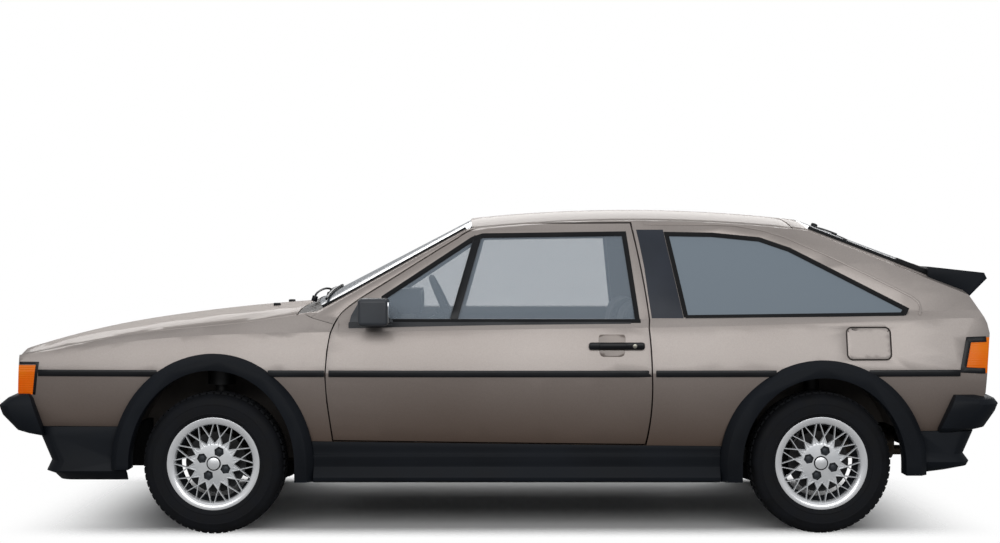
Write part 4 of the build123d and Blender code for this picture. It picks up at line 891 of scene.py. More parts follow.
# Hexagonal bolt pockets: radius and depth of the cut, and where its floor and the bolt lie
POCKET_RADIUS, POCKET_CUT, POCKET_MIDDLE, POCKET_FLOOR = 0.0205, 0.05, -0.0755, -0.0495
BOLT_MIDDLE, BOLT_RADIUS, BOLT_LENGTH = -0.0530, 0.0110, 0.010
# Spokes cross at this radius, and lean this far either way
CROSSING = 0.105
SKEW = math.radians(25.6)
# The web's points reach past the crossings, its hollows back to the hub
WEB_FACE, WEB_DEPTH, WEB_POINT, WEB_HOLLOW = -0.0600, 0.014, CROSSING + 0.003, 0.077
# Spoke: middle and size, then how broad it is at the root, how much it narrows, and its planed top
SPOKE_MIDDLE, SPOKE_SIZE = (0.1155, -0.0560, 0), (0.087, 0.0165, 0.0056)
SPOKE_ROOT, SPOKE_BROAD, SPOKE_TAPER = 0.072, 1.05, 0.35
PLANED_ABOVE, PLANED_TO = -0.060, 0.58
# The two spokes of a pair lie this far either side of one plane, so that no faces coincide
SPOKE_STAGGER = 0.0006
RIB_MIDDLE, RIB_SIZE = (0.088, -0.0610, 0), (0.030, 0.005, 0.0030)
# Where the wheels came to rest, in degrees about their axles
WHEEL_TURN = {"front": -54.25, "rear": -59.75}
WHEEL_SMOOTH = math.radians(30)


def block_of(name, middle, size):
    """Plain block to be shaped further."""
    clear()
    bpy.ops.mesh.primitive_cube_add(size=1, location=middle, scale=size)
    return settle(bpy.context.object, name)


def turned(angle):
    """Turn about the axle."""
    return Matrix.Rotation(angle, 4, "Y")


def spoke_arm():
    """One thin cast spoke along +X: broad at the root, narrow at the lip, with its top edges planed off."""
    arm = block_of("arm", SPOKE_MIDDLE, SPOKE_SIZE)
    edit(arm)
    bpy.ops.mesh.subdivide(number_cuts=1)
    clear()
    for v in arm.data.vertices:
        share = (v.co.x - SPOKE_ROOT) / SPOKE_SIZE[0]
        v.co.z *= SPOKE_BROAD - SPOKE_TAPER * share
        if v.co.y < PLANED_ABOVE:
            v.co.z *= PLANED_TO
    return wear(rounded(arm, 0.0004, 1), "alloy")


def lattice(look):
    """Crossing spokes all round, and the fine ribs that run from the web's points in to the hub."""
    arm = spoke_arm()
    rib = wear(rounded(block_of("rib", RIB_MIDDLE, RIB_SIZE), 0.0006, 1), "alloy")
    out, back = Matrix.Translation((CROSSING, 0, 0)), Matrix.Translation((-CROSSING, 0, 0))
    turns = [math.tau * index / look.spokes for index in range(look.spokes)]
    pieces = [copied(arm, "arm", turned(turn) @ Matrix.Translation((0, SPOKE_STAGGER * way, 0))
                     @ (out @ turned(SKEW * way) @ back))
              for turn in turns for way in (-1, 1)]
    pieces += [copied(rib, "rib", turned(turn)) for turn in turns]
    for master in (arm, rib):
        bpy.data.objects.remove(master)
    return pieces


def bolt_pockets(*solids):
    """Cut the hexagonal pockets into the hub and the web, and return their floors and bolts."""
    pieces = []
    for index in range(BOLTS):
        angle = FIRST_BOLT + math.tau * index / BOLTS
        x, z = BOLT_CIRCLE * math.cos(angle), BOLT_CIRCLE * math.sin(angle)
        clear()
        bpy.ops.mesh.primitive_cylinder_add(vertices=6, radius=POCKET_RADIUS, depth=POCKET_CUT,
                                            location=(x, POCKET_MIDDLE, z),
                                            rotation=(math.radians(90), -angle, 0))
        # The cut walls, the pocket floors and the bolts all take the pockets' painted shade
        cutter = wear(settle(bpy.context.object, "cutter"), "pocket")
        for solid in solids:
            modify(solid, "BOOLEAN", operation="DIFFERENCE", object=cutter, solver="EXACT",
                   material_mode="TRANSFER")
        bpy.data.objects.remove(cutter)
        pieces.append(drum("pocket", (x, POCKET_FLOOR, z), (0, 1, 0), POCKET_RADIUS - 0.0005, 0.003,
                           "pocket", 6, 0.0))
        pieces.append(drum("bolt", (x, BOLT_MIDDLE, z), (0, 1, 0), BOLT_RADIUS, BOLT_LENGTH,
                           "pocket", 6, 0.0012))
    return pieces


def wheel_parts(look):
    """One left wheel about its own centre, outer face towards -Y, ready to be copied."""
    barrel = wear(spun("barrel", RIM + (RIM[0],), 96), "alloy", "lip", "pocket")
    # Faces out on the lip are turned bright; faces deep in the barrel get painted shade
    for face in barrel.data.polygons:
        reach, y = math.hypot(face.center.x, face.center.z), face.center.y
        if reach > LIP_FROM[0] and y < LIP_FROM[1]:
            face.material_index = 1
        elif reach < BARREL_TO[0] and y > BARREL_TO[1]:
            face.material_index = 2
    # The web is a star: its points stand where the spokes cross.
    points = []
    for index in range(look.spokes * 2):
        reach, angle = WEB_HOLLOW if index % 2 else WEB_POINT, math.pi * index / look.spokes
        points.append((reach * math.cos(angle), WEB_FACE, reach * math.sin(angle)))
    web = plate("star", points, (0, WEB_DEPTH, 0), 0.0012, "alloy")
    hub = spun("hub", HUB, 64)
    parts = [barrel, *bolt_pockets(hub, web), hub, web]
    parts += [spun("cap", CAP), spun("cap_ring", CAP_RING, finish="seal"), *lattice(look),
              spun("brake_disc", BRAKE_DISC, finish="iron"), spun("stem", STEM, 36, "iron")]
    return joined("wheel_master", parts)


# Inner side of the tread's base, and the tread's block rows: y, width, radius, and slope along the tyre
TREAD_BASE = ((0.262, 0.060), (0.262, -0.060))
TREAD_ROWS = ((-0.062, 0.018, 0.2715, 0.2), (-0.037, 0.020, 0.2780, -0.15), (-0.0125, 0.019, 0.2785, 0.15),
              (0.0125, 0.019, 0.2785, -0.15), (0.037, 0.020, 0.2780, 0.15), (0.062, 0.018, 0.2715, -0.2))
# Radius at which the blocks' pitch is measured, the block's share of it, and the block's height
TREAD_RADIUS, BLOCK_SHARE, BLOCK_HEIGHT = 0.278, 0.72, 0.011
BLOCK_SUNK = 0.0045
# Rows beyond this far out are shoulder blocks, whose outer edge falls away
SHOULDER_FROM, SHOULDER_FALL = 0.05, 0.0085


def tyre_parts(look):
    """One tyre about its own centre: ribbed sidewalls and a block tread."""
    wall = [(r, -y) for r, y in CARCASS] + [(r, y) for r, y in reversed(CARCASS)]
    parts = [spun("carcass", [*wall, *TREAD_BASE, wall[0]], 96, "tyre")]
    pitch = math.tau / look.treads
    block_length = TREAD_RADIUS * pitch * BLOCK_SHARE
    for number, (y, width, reach, slope) in enumerate(TREAD_ROWS):
        lug = block_of("lug", (0, y, BLOCK_SUNK - reach), (block_length, width, BLOCK_HEIGHT))
        for v in lug.data.vertices:
            v.co.x += (v.co.y - y) * slope * 2
            if abs(y) > SHOULDER_FROM and abs(v.co.y) > abs(y):
                v.co.z += SHOULDER_FALL
        wear(lug, "tyre")
        edit(lug)
        bpy.ops.mesh.spin(steps=look.treads, angle=math.tau, center=(0, 0, 0), axis=(0, 1, 0), dupli=True)
        clear()
        lug.data.transform(turned(pitch * 0.5 * (number % 2)))
        parts.append(lug)
    return joined("tyre_master", parts)


class COUPE_OT_wheels(bpy.types.Operator):
    """Cast and fit the four lattice wheels and their tyres"""
    bl_idname = "coupe.wheels"
    bl_label = "Wheels and tyres"

    def execute(self, context):
        look = context.scene.coupe_look
        for kind, master in (("rim", wheel_parts(look)), ("tyre", tyre_parts(look))):
            for end, turn in WHEEL_TURN.items():
                for side, which in SIDES.items():
                    low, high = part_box(f"rim_{end}_{which}")
                    place = Matrix.Translation((low + high) / 2)
                    if side > 0:
                        place = place @ Matrix.Scale(-1, 4, (0, 1, 0))
                    if kind == "rim":
                        place = place @ turned(math.radians(turn))
                    node = f"{kind}_{end}_{which}"
                    obj = smooth(copied(master, node + "_dressed", place), WHEEL_SMOOTH)
                    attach(obj, f"{end}_{which}_wheel")
                    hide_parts(node)
            bpy.data.objects.remove(master)
        return {"FINISHED"}


# Lamp surrounds: width, how far they stand proud, and how deep they are rooted
TAIL_WIDTH, NOSE_WIDTH = 0.022, 0.011
SURROUND_SEAT = (0.003, 0.002)
SURROUND_STEP = 0.02
# The tail lens is amber from here outwards, red from here, and clear inside that
AMBER_FROM, RED_FROM = 0.62, 0.47
# Headlamp lenses' inner and outer ends, the first bowl's middle, and how far back the outer one stands
HEADLAMPS = ((0.262, 0.414), (0.430, 0.628))
BOWL_X, BOWL_SETBACK = -1.885, 0.020
BOWL = ((0.001, 0.020), (0.020, 0.018), (0.034, 0.006), (0.041, -0.012), (0.042, -0.012), (0.035, 0.010),
        (0.020, 0.022), (0.001, 0.024))
BULB_AHEAD, BULB_RADIUS, BULB_LENGTH = 0.010, 0.006, 0.024


class COUPE_OT_lamps(bpy.types.Operator):
    """Fit lamp lenses, bowls and surrounds"""
    bl_idname = "coupe.lamps"
    bl_label = "Lamps"

    def execute(self, context):
        for side, which in SIDES.items():
            tail = skin_of("tail_lamps", "side_frame_" + which, "rear_panel")
            nose = skin_of("indicators", "wing_" + which)
            for name, line, width, skin in (("tail_lamp", TAIL_SURROUND, TAIL_WIDTH, tail),
                                            ("indicator", NOSE_SURROUND, NOSE_WIDTH, nose)):
                rows = shown_rows(line, width, step=SURROUND_STEP)
                surround = band(f"{name}_surround_{which}", rows, skin, side, *SURROUND_SEAT, 0.0015, "abs")
                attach(surround, "body")
        lens = softened("tail_lamps", 0.0015, "amber")
        for finish in ("red", "clear"):
            lens.data.materials.append(FINISH[finish])
        for cut in (-AMBER_FROM, -RED_FROM, RED_FROM, AMBER_FROM):
            edit(lens)
            bpy.ops.mesh.bisect(plane_co=(0, cut, 0), plane_no=(0, 1, 0))
            clear()
        for face in lens.data.polygons:
            reach = abs(face.center.y)
            face.material_index = 0 if reach > AMBER_FROM else (1 if reach > RED_FROM else 2)
        low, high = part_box("headlamps")
        z = (low.z + high.z) / 2
        for number, (inner, outer) in enumerate(HEADLAMPS):
            for side, which in SIDES.items():
                x, y = BOWL_X + BOWL_SETBACK * number, side * (inner + outer) / 2
                bowl = spun(f"lamp_bowl_{number}_{which}", BOWL, 40, "mirror")
                bowl.data.transform(Matrix.Translation((x, y, z))
                                    @ Matrix.Rotation(math.radians(-90), 4, "Z"))
                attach(bowl, "body")
                bulb = drum(f"lamp_bulb_{number}_{which}", (x + BULB_AHEAD, y, z), (1, 0, 0), BULB_RADIUS,
                            BULB_LENGTH, "clear", 16)
                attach(bulb, "body")
        return {"FINISHED"}


# Plate blanks: half their width, their height and their thickness
PLATE_HALF, PLATE_TALL, PLATE_THIN = 0.260, 0.110, 0.0024
PLATE_EDGE, LIP_EDGE = 0.0008, 0.002
REAR_PLATE = ((1.990, -PLATE_HALF, 0.645), (1.9925, PLATE_HALF, 0.755))
REAR_LIP = ((1.984, -0.264, 0.641), (1.9905, 0.264, 0.759))
# The front plate lies back on the bumper's lower slope
FRONT_PLATE_AT, FRONT_PLATE_LEAN = (-1.984, 0, 0.446), math.radians(-43.5)


class COUPE_OT_plates(bpy.types.Operator):
    """Fit the bare number plates"""
    bl_idname = "coupe.plates"
    bl_label = "Number plates"

    def execute(self, context):
        corner = Vector((PLATE_THIN, PLATE_HALF * 2, PLATE_TALL)) / 2
        pieces = [brick("rear_number_plate", *REAR_PLATE, PLATE_EDGE, "plate"),
                  brick("rear_plate_lip", *REAR_LIP, LIP_EDGE, "abs"),
                  brick("front_number_plate", -corner, corner, PLATE_EDGE, "plate")]
        pieces[-1].data.transform(Matrix.Translation(FRONT_PLATE_AT)
                                  @ Matrix.Rotation(FRONT_PLATE_LEAN, 4, "Y"))
        for piece in pieces:
            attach(piece, "body")
        return {"FINISHED"}


def glass_z(skin, x, y):
    """Height of the sloping glass above a place in plan."""
    hit = skin.ray_cast(Vector((x, y, ABOVE)), Vector((0, 0, -1)))[0]
    if hit is None:
        raise RuntimeError(f"no glass above {x:.3f}, {y:.3f}")
    return hit.z


# The search for a pane's edge runs in from the first distance to the second by small steps
EDGE_SEARCH = (0.760, 0.300, 0.004)


def glass_edge(skin, x, side):
    """Outer edge of a sloping pane at one station along the car."""
    y, innermost, step = EDGE_SEARCH
    while y > innermost:
        hit = skin.ray_cast(Vector((x, side * y, ABOVE)), Vector((0, 0, -1)))[0]
        if hit is not None:
            return hit
        y -= step
    raise RuntimeError(f"no pane at {x:.3f}")


# Rubber along the panes' edges: node, place, body, its two ends along the car, and its radius
PANE_SEALS = (("windscreen", "seal", "body", -0.715, -0.140, 0.008),
              ("hatch_glass", "seal", "tailgate", 1.268, 1.745, 0.010),
              ("hatch_glass", "foot", "tailgate", 1.620, 1.750, 0.016))
# The rubber's middle lies this far in from the edge, and this share of its radius over it
SEAL_INWARD, SEAL_OVER = 0.004, 0.45


class COUPE_OT_pane_seals(bpy.types.Operator):
    """Bed the windscreen and the hatch glass in black rubber"""
    bl_idname = "coupe.pane_seals"
    bl_label = "Screen and hatch seals"

    def execute(self, context):
        for node, place, body, start, end, radius in PANE_SEALS:
            skin = skin_of(node)
            for side, which in SIDES.items():
                line = [glass_edge(skin, x, side) + Vector((0, -side * SEAL_INWARD, radius * SEAL_OVER))
                        for x in divided_run(start, end, 6)]
                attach(tube(f"{node}_{place}_{which}", line, radius, "seal", 3), body)
        return {"FINISHED"}


# Wipers: where their pivots stand, and the two ends of each blade across the car
PIVOT_X, PIVOT_Z, PIVOT_INWARD = -0.775, 0.920, 0.10
BLADES = ((-0.50, 0.02), (0.06, 0.56))
BLADE_STATIONS = (-0.715, -0.722, -0.700)
BLADE_OVER = 0.009
REAR_PIVOT_X, REAR_BLADE_X, REAR_KNEE = 1.392, 1.455, (1.45, -0.20)
REAR_BLADE = (-0.38, -0.20, -0.03)
# Washer jets on the bonnet
JET_X, JET_Y, JET_HALF_LENGTH, JET_HALF_WIDTH, JET_TALL = -0.955, 0.24, 0.015, 0.009, 0.011


def above(skin, x, y, height):
    """Point that stands a little over a pane or panel."""
    return Vector((x, y, glass_z(skin, x, y) + height))


class COUPE_OT_wipers(bpy.types.Operator):
    """Park the wipers on the glass and fit the washer jets"""
    bl_idname = "coupe.wipers"
    bl_label = "Wipers and jets"

    def execute(self, context):
        screen, back, lid = (skin_of(node) for node in ("windscreen", "hatch_glass", "bonnet"))
        for number, (start, end) in enumerate(BLADES):
            foot = Vector((PIVOT_X, start + PIVOT_INWARD, PIVOT_Z))
            places = zip(BLADE_STATIONS, (start, (start + end) / 2, end))
            blade = [above(screen, x, y, BLADE_OVER) for x, y in places]
            middle = blade[1]
            arm = tube("arm", [foot, foot + Vector((0, 0.01, 0.022)), middle + Vector((-0.02, 0, 0.018)),
                               middle + Vector((0, 0, 0.008))], 0.0045, "abs")
            rubber = tube("rubber", blade, 0.005, "seal")
            spring = tube("frame", [blade[0] + Vector((0, 0.03, 0.005)), middle + Vector((0, 0, 0.011)),
                                    blade[2] + Vector((0, -0.03, 0.005))], 0.0030, "abs")
            pivot = drum("pivot", foot, (0.3, 0, 1), 0.012, 0.024, "abs", 20)
            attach(joined(f"wiper_{number}", [arm, rubber, spring, pivot]), "body")
        top = above(back, REAR_PIVOT_X, 0.0, 0.0)
        hub = top + Vector((0, 0, 0.008))
        arm = tube("arm", [hub, top + Vector((0.02, -0.06, 0.004)), above(back, *REAR_KNEE, 0.005)], 0.004,
                   "abs")
        rubber = tube("rubber", [above(back, REAR_BLADE_X, y, 0.003) for y in REAR_BLADE], 0.003, "seal")
        pivot = drum("pivot", hub, (0.35, 0, 1), 0.015, 0.034, "abs", 20, 0.006)
        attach(joined("rear_wiper", [arm, rubber, pivot]), "tailgate")
        for side, which in SIDES.items():
            foot = above(lid, JET_X, side * JET_Y, 0.0)
            jet = brick("washer_jet_" + which, foot - Vector((JET_HALF_LENGTH, JET_HALF_WIDTH, 0.002)),
                        foot + Vector((JET_HALF_LENGTH, JET_HALF_WIDTH, JET_TALL)), 0.004, "abs")
            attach(jet, "bonnet_lid")
        return {"FINISHED"}


# Mirror glass: its two ends across the car, its two faces along the car, and its heights
MIRROR_ACROSS, MIRROR_X, MIRROR_Z = (0.806, 0.911), (-0.4335, -0.4300), (0.843, 0.921)


class COUPE_OT_mirrors(bpy.types.Operator):
    """Set the mirror glasses into their housings"""
    bl_idname = "coupe.mirrors"
    bl_label = "Mirror glass"

    def execute(self, context):
        for side, which in SIDES.items():
            low, high = zip(MIRROR_X, sorted(side * y for y in MIRROR_ACROSS), MIRROR_Z)
            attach(brick("mirror_glass_" + which, low, high, 0.001, "mirror"), which + "_door")
        return {"FINISHED"}


# Foam: rounding of the plain block, size of its remeshed faces, and the pressure and frames that blow it up
FOAM_EDGE, FOAM_FACE, FOAM_PRESSURE, FOAM_FRAMES = 0.022, 0.012, 4.0, 20
SHORTEST_ARM = 0.05


def blow_up(obj, cap):
    """Swell a foam block as cloth under pressure, by no more than a cap."""
    scene = bpy.context.scene
    rest = [v.co.copy() for v in obj.data.vertices]
    only(obj)
    cloth = obj.modifiers.new("Cloth", "CLOTH").settings
    cloth.use_pressure = True
    cloth.uniform_pressure_force = FOAM_PRESSURE
    cloth.effector_weights.gravity = 0.0
    cloth.quality = 4
    for frame_number in range(1, FOAM_FRAMES + 1):
        scene.frame_set(frame_number)
    puffed = obj.evaluated_get(bpy.context.evaluated_depsgraph_get())
    places = [v.co.copy() for v in puffed.data.vertices]
    obj.modifiers.clear()
    scene.frame_set(1)
    for v, place, old in zip(obj.data.vertices, places, rest):
        push = place - old
        if push.length > cap:
            push *= cap / push.length
        v.co = old + push


def padded(obj):
    only(obj)
    bpy.ops.object.shade_smooth()
    return obj


def cushion(name, outline, middle, half, cap, flutes):
    """Foam cushion from a side outline: remeshed, blown up as cloth, capped, and fluted."""
    centre = sum((Vector(p) for p in outline), Vector((0, 0))) / len(outline)
    inner = []
    for p in outline:
        arm = Vector(p) - centre
        inner.append(centre + arm * (1 - cap / max(arm.length, SHORTEST_ARM)))
    obj = plate(name, [(p.x, middle - half + cap, p.y) for p in inner], (0, 2 * (half - cap), 0), FOAM_EDGE,
                "cloth")
    modify(obj, "REMESH", mode="VOXEL", voxel_size=FOAM_FACE, use_smooth_shade=True)
    blow_up(obj, cap)
    for axis, at, depth, width in flutes:
        at += middle if axis == "y" else 0
        for v in obj.data.vertices:
            gap = (getattr(v.co, axis) - at) / width
            v.co -= v.normal * depth * math.exp(-gap * gap)
    return padded(modify(obj, "SUBSURF", levels=1, render_levels=1))


# Side outlines of the cushions, as (x, z)
SEAT_PAD = ((-0.010, 0.372), (-0.010, 0.450), (0.040, 0.480), (0.440, 0.445), (0.470, 0.372))
SEAT_BACK = ((0.405, 0.405), (0.470, 0.372), (0.520, 0.390), (0.640, 0.900), (0.620, 0.935), (0.560, 0.935),
             (0.535, 0.905))
HEADREST = ((0.602, 0.945), (0.602, 1.062), (0.618, 1.073), (0.662, 1.073), (0.678, 1.062), (0.678, 0.945))
BENCH_PAD = ((0.872, 0.452), (0.872, 0.545), (0.890, 0.560), (1.228, 0.560), (1.228, 0.452))
BENCH_BACK = ((1.132, 0.562), (1.212, 0.868), (1.298, 0.858), (1.248, 0.562))
# Sewn flutes: the axis they are stacked along, their place, depth and width
SIDE_FLUTES = [("y", side * 0.155, 0.007, 0.006) for side in SIDES]
PAD_FLUTES = SIDE_FLUTES + [("x", x, 0.006, 0.006) for x in (0.14, 0.26)]
BACK_FLUTES = SIDE_FLUTES + [("z", z, 0.006, 0.006) for z in (0.56, 0.68, 0.80)]
BENCH_FLUTES = [("y", 0.0, 0.008, 0.008), ("y", -0.24, 0.005, 0.006), ("y", 0.24, 0.005, 0.006)]
# Front seats: distance from the middle, then each cushion's outline, half width, swelling and flutes
SEAT_Y = 0.34
FRONT_CUSHIONS = {"seat_pad": (SEAT_PAD, 0.248, 0.016, PAD_FLUTES),
                  "seat_back": (SEAT_BACK, 0.248, 0.016, BACK_FLUTES),
                  "headrest": (HEADREST, 0.124, 0.010, ())}
BENCH_CUSHIONS = {"bench_pad": BENCH_PAD, "bench_back": BENCH_BACK}
BENCH_HALF, BENCH_SWELL = 0.483, 0.014
# Seat frame about the seat's middle: rails, pan and headrest posts
RAIL_OUT, RAIL_HALF, RAIL_X, RAIL_Z = 0.19, 0.012, (0.050, 0.420), (0.263, 0.30)
PAN_HALF, PAN_X, PAN_Z = 0.20, (0.030, 0.440), (0.30, 0.372)
POST_OUT, POST_LINE, POST_RADIUS = 0.05, ((0.632, 0.90), (0.638, 0.96)), 0.006


class COUPE_OT_seats(bpy.types.Operator):
    """Upholster the front seats and the rear bench"""
    bl_idname = "coupe.seats"
    bl_label = "Seats"

    def execute(self, context):
        masters = {name: cushion(name, outline, -SEAT_Y, half, cap, flutes)
                   for name, (outline, half, cap, flutes) in FRONT_CUSHIONS.items()}
        for name, left in masters.items():
            right = padded(mirrored(left, name + "_right"))
            left.name = left.data.name = name + "_left"
            for piece in (left, right):
                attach(piece, "body")
                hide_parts("front_seats")
        for side, which in SIDES.items():
            y = side * SEAT_Y
            base = [brick("rail", (RAIL_X[0], y + s * RAIL_OUT - RAIL_HALF, RAIL_Z[0]),
                          (RAIL_X[1], y + s * RAIL_OUT + RAIL_HALF, RAIL_Z[1]), 0.002, "steel")
                    for s in SIDES]
            base.append(brick("frame", (PAN_X[0], y - PAN_HALF, PAN_Z[0]),
                              (PAN_X[1], y + PAN_HALF, PAN_Z[1]), 0.008, "steel"))
            base += [tube("post", [(x, y + s * POST_OUT, z) for x, z in POST_LINE], POST_RADIUS, "zinc")
                     for s in SIDES]
            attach(joined("seat_frame_" + which, base), "body")
        bench = [cushion(name, outline, 0.0, BENCH_HALF, BENCH_SWELL, BENCH_FLUTES)
                 for name, outline in BENCH_CUSHIONS.items()]
        for piece in bench:
            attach(piece, "body")
            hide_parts("rear_seat")
        return {"FINISHED"}


# Door card: each box's inner and outer face, its ends along the car, its heights, edge radius
DOOR_CARD = {"card": (0.738, 0.7495, (-0.600, 0.520), (0.400, 0.838), 0.004),
             "armrest": (0.690, 0.740, (-0.180, 0.330), (0.610, 0.660), 0.014),
             "pocket": (0.690, 0.740, (-0.560, 0.100), (0.420, 0.520), 0.012)}
CRANK_HUB = (-0.120, 0.730, 0.560)
CRANK = ((-0.120, 0.716, 0.560), (-0.060, 0.712, 0.590))
# Boxes of the cabin and the bay: corners, edge radius and finish
HOOD_FACE = ((-0.336, -0.470, 0.872), (-0.327, -0.210, 0.952), 0.002, "abs")
CONSOLE = ((-0.470, -0.100, 0.362), (0.330, 0.100, 0.420), 0.014, "vinyl")
STACK = ((-0.560, -0.110, 0.400), (-0.400, 0.110, 0.760), 0.012, "vinyl")
PARCEL_SHELF = ((1.310, -0.460, 0.852), (1.660, 0.460, 0.868), 0.004, "carpet")
INNER_MIRROR = ((-0.180, -0.110, 1.135), (-0.160, 0.110, 1.185), 0.008, "abs")
INNER_MIRROR_GLASS = ((-0.161, -0.104, 1.141), (-0.1585, 0.104, 1.179), 0.001, "mirror")
BATTERY_CASE = ((-1.560, 0.420, 0.500), (-1.390, 0.600, 0.680), 0.008, "abs")
RADIATOR = ((-1.800, -0.300, 0.330), (-1.768, 0.300, 0.640), 0.006, "cast")
WASHER_BOTTLE = ((-0.990, 0.420, 0.560), (-0.880, 0.560, 0.740), 0.020, "lining")
# Dials: their middles across the car and their height, then each disc's x, radius, depth and finish
DIAL_Y, DIAL_Z = (-0.405, -0.275), 0.912
DIAL_DISCS = {"dial": (-0.3265, 0.040, 0.004, "seal"), "dial_ring": (-0.3275, 0.043, 0.003, "zinc")}
RADIO_LEVELS = (0.640, 0.700)
LEVER = ((-0.160, 0, 0.41), (-0.150, 0, 0.50), (-0.170, 0, 0.57))
KNOB_AT, KNOB_RADIUS = (-0.170, 0, 0.585), 0.023
GAITER_AT = (-0.160, 0, 0.418)
GAITER = ((0.052, 0.0), (0.040, 0.018), (0.044, 0.026), (0.026, 0.042), (0.030, 0.050), (0.010, 0.075))
HANDBRAKE = ((0.120, 0.02, 0.42), (0.0, 0.02, 0.47), (-0.060, 0.02, 0.50))
MIRROR_STALK = ((-0.165, 0, 1.170), (-0.150, 0, 1.200), (-0.105, 0, 1.222))
# Sun visors: middle across the car, half width, ends along the car, heights
VISOR_Y, VISOR_HALF, VISOR_X, VISOR_Z = 0.28, 0.19, (-0.060, 0.110), (1.205, 1.221)
# Pedals: each pad's middle across the car and its foot, its size, and its arm's x and height over the foot
PEDALS = ((-0.46, 0.42), (-0.34, 0.42), (-0.24, 0.40))
PAD_X, PAD_HALF, PAD_TALL = (-0.600, -0.588), 0.03, 0.07
PEDAL_ARM = ((-0.606, 0.035), (-0.66, 0.12), (-0.66, 0.26))


class COUPE_OT_cabin(bpy.types.Operator):
    """Line the cabin: door cards, shelf, visors, dials, console and pedals"""
    bl_idname = "coupe.cabin"
    bl_label = "Cabin trim"

    def execute(self, context):
        for side, which in SIDES.items():
            card = []
            for name, (inner, outer, along, up, edge) in DOOR_CARD.items():
                low, high = zip(along, sorted((side * inner, side * outer)), up)
                card.append(brick(name, low, high, edge, "vinyl"))
            across_car = Vector((1, side, 1))
            card.append(drum("crank_hub", Vector(CRANK_HUB) * across_car, (0, 1, 0), 0.020, 0.030, "abs",
                             20))
            card.append(tube("crank", [Vector(p) * across_car for p in CRANK], 0.006, "abs"))
            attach(joined("door_card_" + which, card), which + "_door")
        dials = [brick("hood_face", *HOOD_FACE)]
        for y in DIAL_Y:
            dials += [drum(name, (x, y, DIAL_Z), (1, 0, 0), radius, depth, finish, 32, 0.001)
                      for name, (x, radius, depth, finish) in DIAL_DISCS.items()]
        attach(joined("dials", dials), "body")
        clear()
        bpy.ops.mesh.primitive_uv_sphere_add(segments=20, ring_count=12, radius=KNOB_RADIUS,
                                             location=KNOB_AT)
        knob = wear(smooth(settle(bpy.context.object, "knob")), "vinyl")
        gaiter = spun("gaiter", GAITER, 24, "vinyl")
        gaiter.data.transform(Matrix.Translation(GAITER_AT) @ Matrix.Rotation(math.radians(90), 4, "X"))
        console = [brick("console", *CONSOLE), brick("stack", *STACK)]
        console += [brick("radio", (-0.402, -0.090, z), (-0.394, 0.090, z + 0.050), 0.003, "abs")
                    for z in RADIO_LEVELS]
        console += [tube("lever", LEVER, 0.006, "zinc"), knob, gaiter,
                    tube("handbrake", HANDBRAKE, 0.012, "vinyl")]
        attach(joined("console", console), "body")
        for piece in (brick("parcel_shelf", *PARCEL_SHELF), brick("inner_mirror", *INNER_MIRROR),
                      brick("inner_mirror_glass", *INNER_MIRROR_GLASS),
                      tube("mirror_stalk", MIRROR_STALK, 0.006, "abs")):
            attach(piece, "body")
        for side, which in SIDES.items():
            y = side * VISOR_Y
            low, high = zip(VISOR_X, (y - VISOR_HALF, y + VISOR_HALF), VISOR_Z)
            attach(brick("sun_visor_" + which, low, high, 0.007, "lining"), "body")
        pedals = []
        for y, z in PEDALS:
            low, high = zip(PAD_X, (y - PAD_HALF, y + PAD_HALF), (z, z + PAD_TALL))
            pedals.append(brick("pad", low, high, 0.004, "seal"))
            pedals.append(tube("arm", [(x, y, z + up) for x, up in PEDAL_ARM], 0.006, "steel"))
        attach(joined("pedals", pedals), "body")
        return {"FINISHED"}


# Rocker cover on the engine block: ends along the car from the block's front, across it, and over its top
ROCKER = ((0.05, -0.26, -0.004), (0.20, 0.22, 0.035))
FIN_STEPS, FIN_STEP, FIN_WIDTH = range(-4, 4), 0.05, 0.008
FIN_X, FIN_Z = (0.06, 0.19), (0.030, 0.040)
OIL_CAP = (0.12, -0.225, 0.040)
# Belt pulleys: x from the block's front, z, radius
PULLEYS = ((0.20, 0.42, 0.070), (0.10, 0.60, 0.045), (0.34, 0.60, 0.040))
PULLEY_OUT, PULLEY_DEPTH = 0.018, 0.028
BATTERY_POLES = {"pole_a": (-1.430, 0.450, 0.686), "pole_b": (-1.430, 0.570, 0.686)}
FAN_AT, FAN_RADIUS, FAN_DEPTH = (-1.757, 0.0, 0.480), 0.130, 0.020
HOSE = ((-1.780, 0.200, 0.640), (-1.780, 0.200, 0.665), (-1.700, 0.180, 0.690), (-1.640, 0.150, 0.700),
        (-1.600, 0.150, 0.715))
HOSE_RADIUS = 0.020


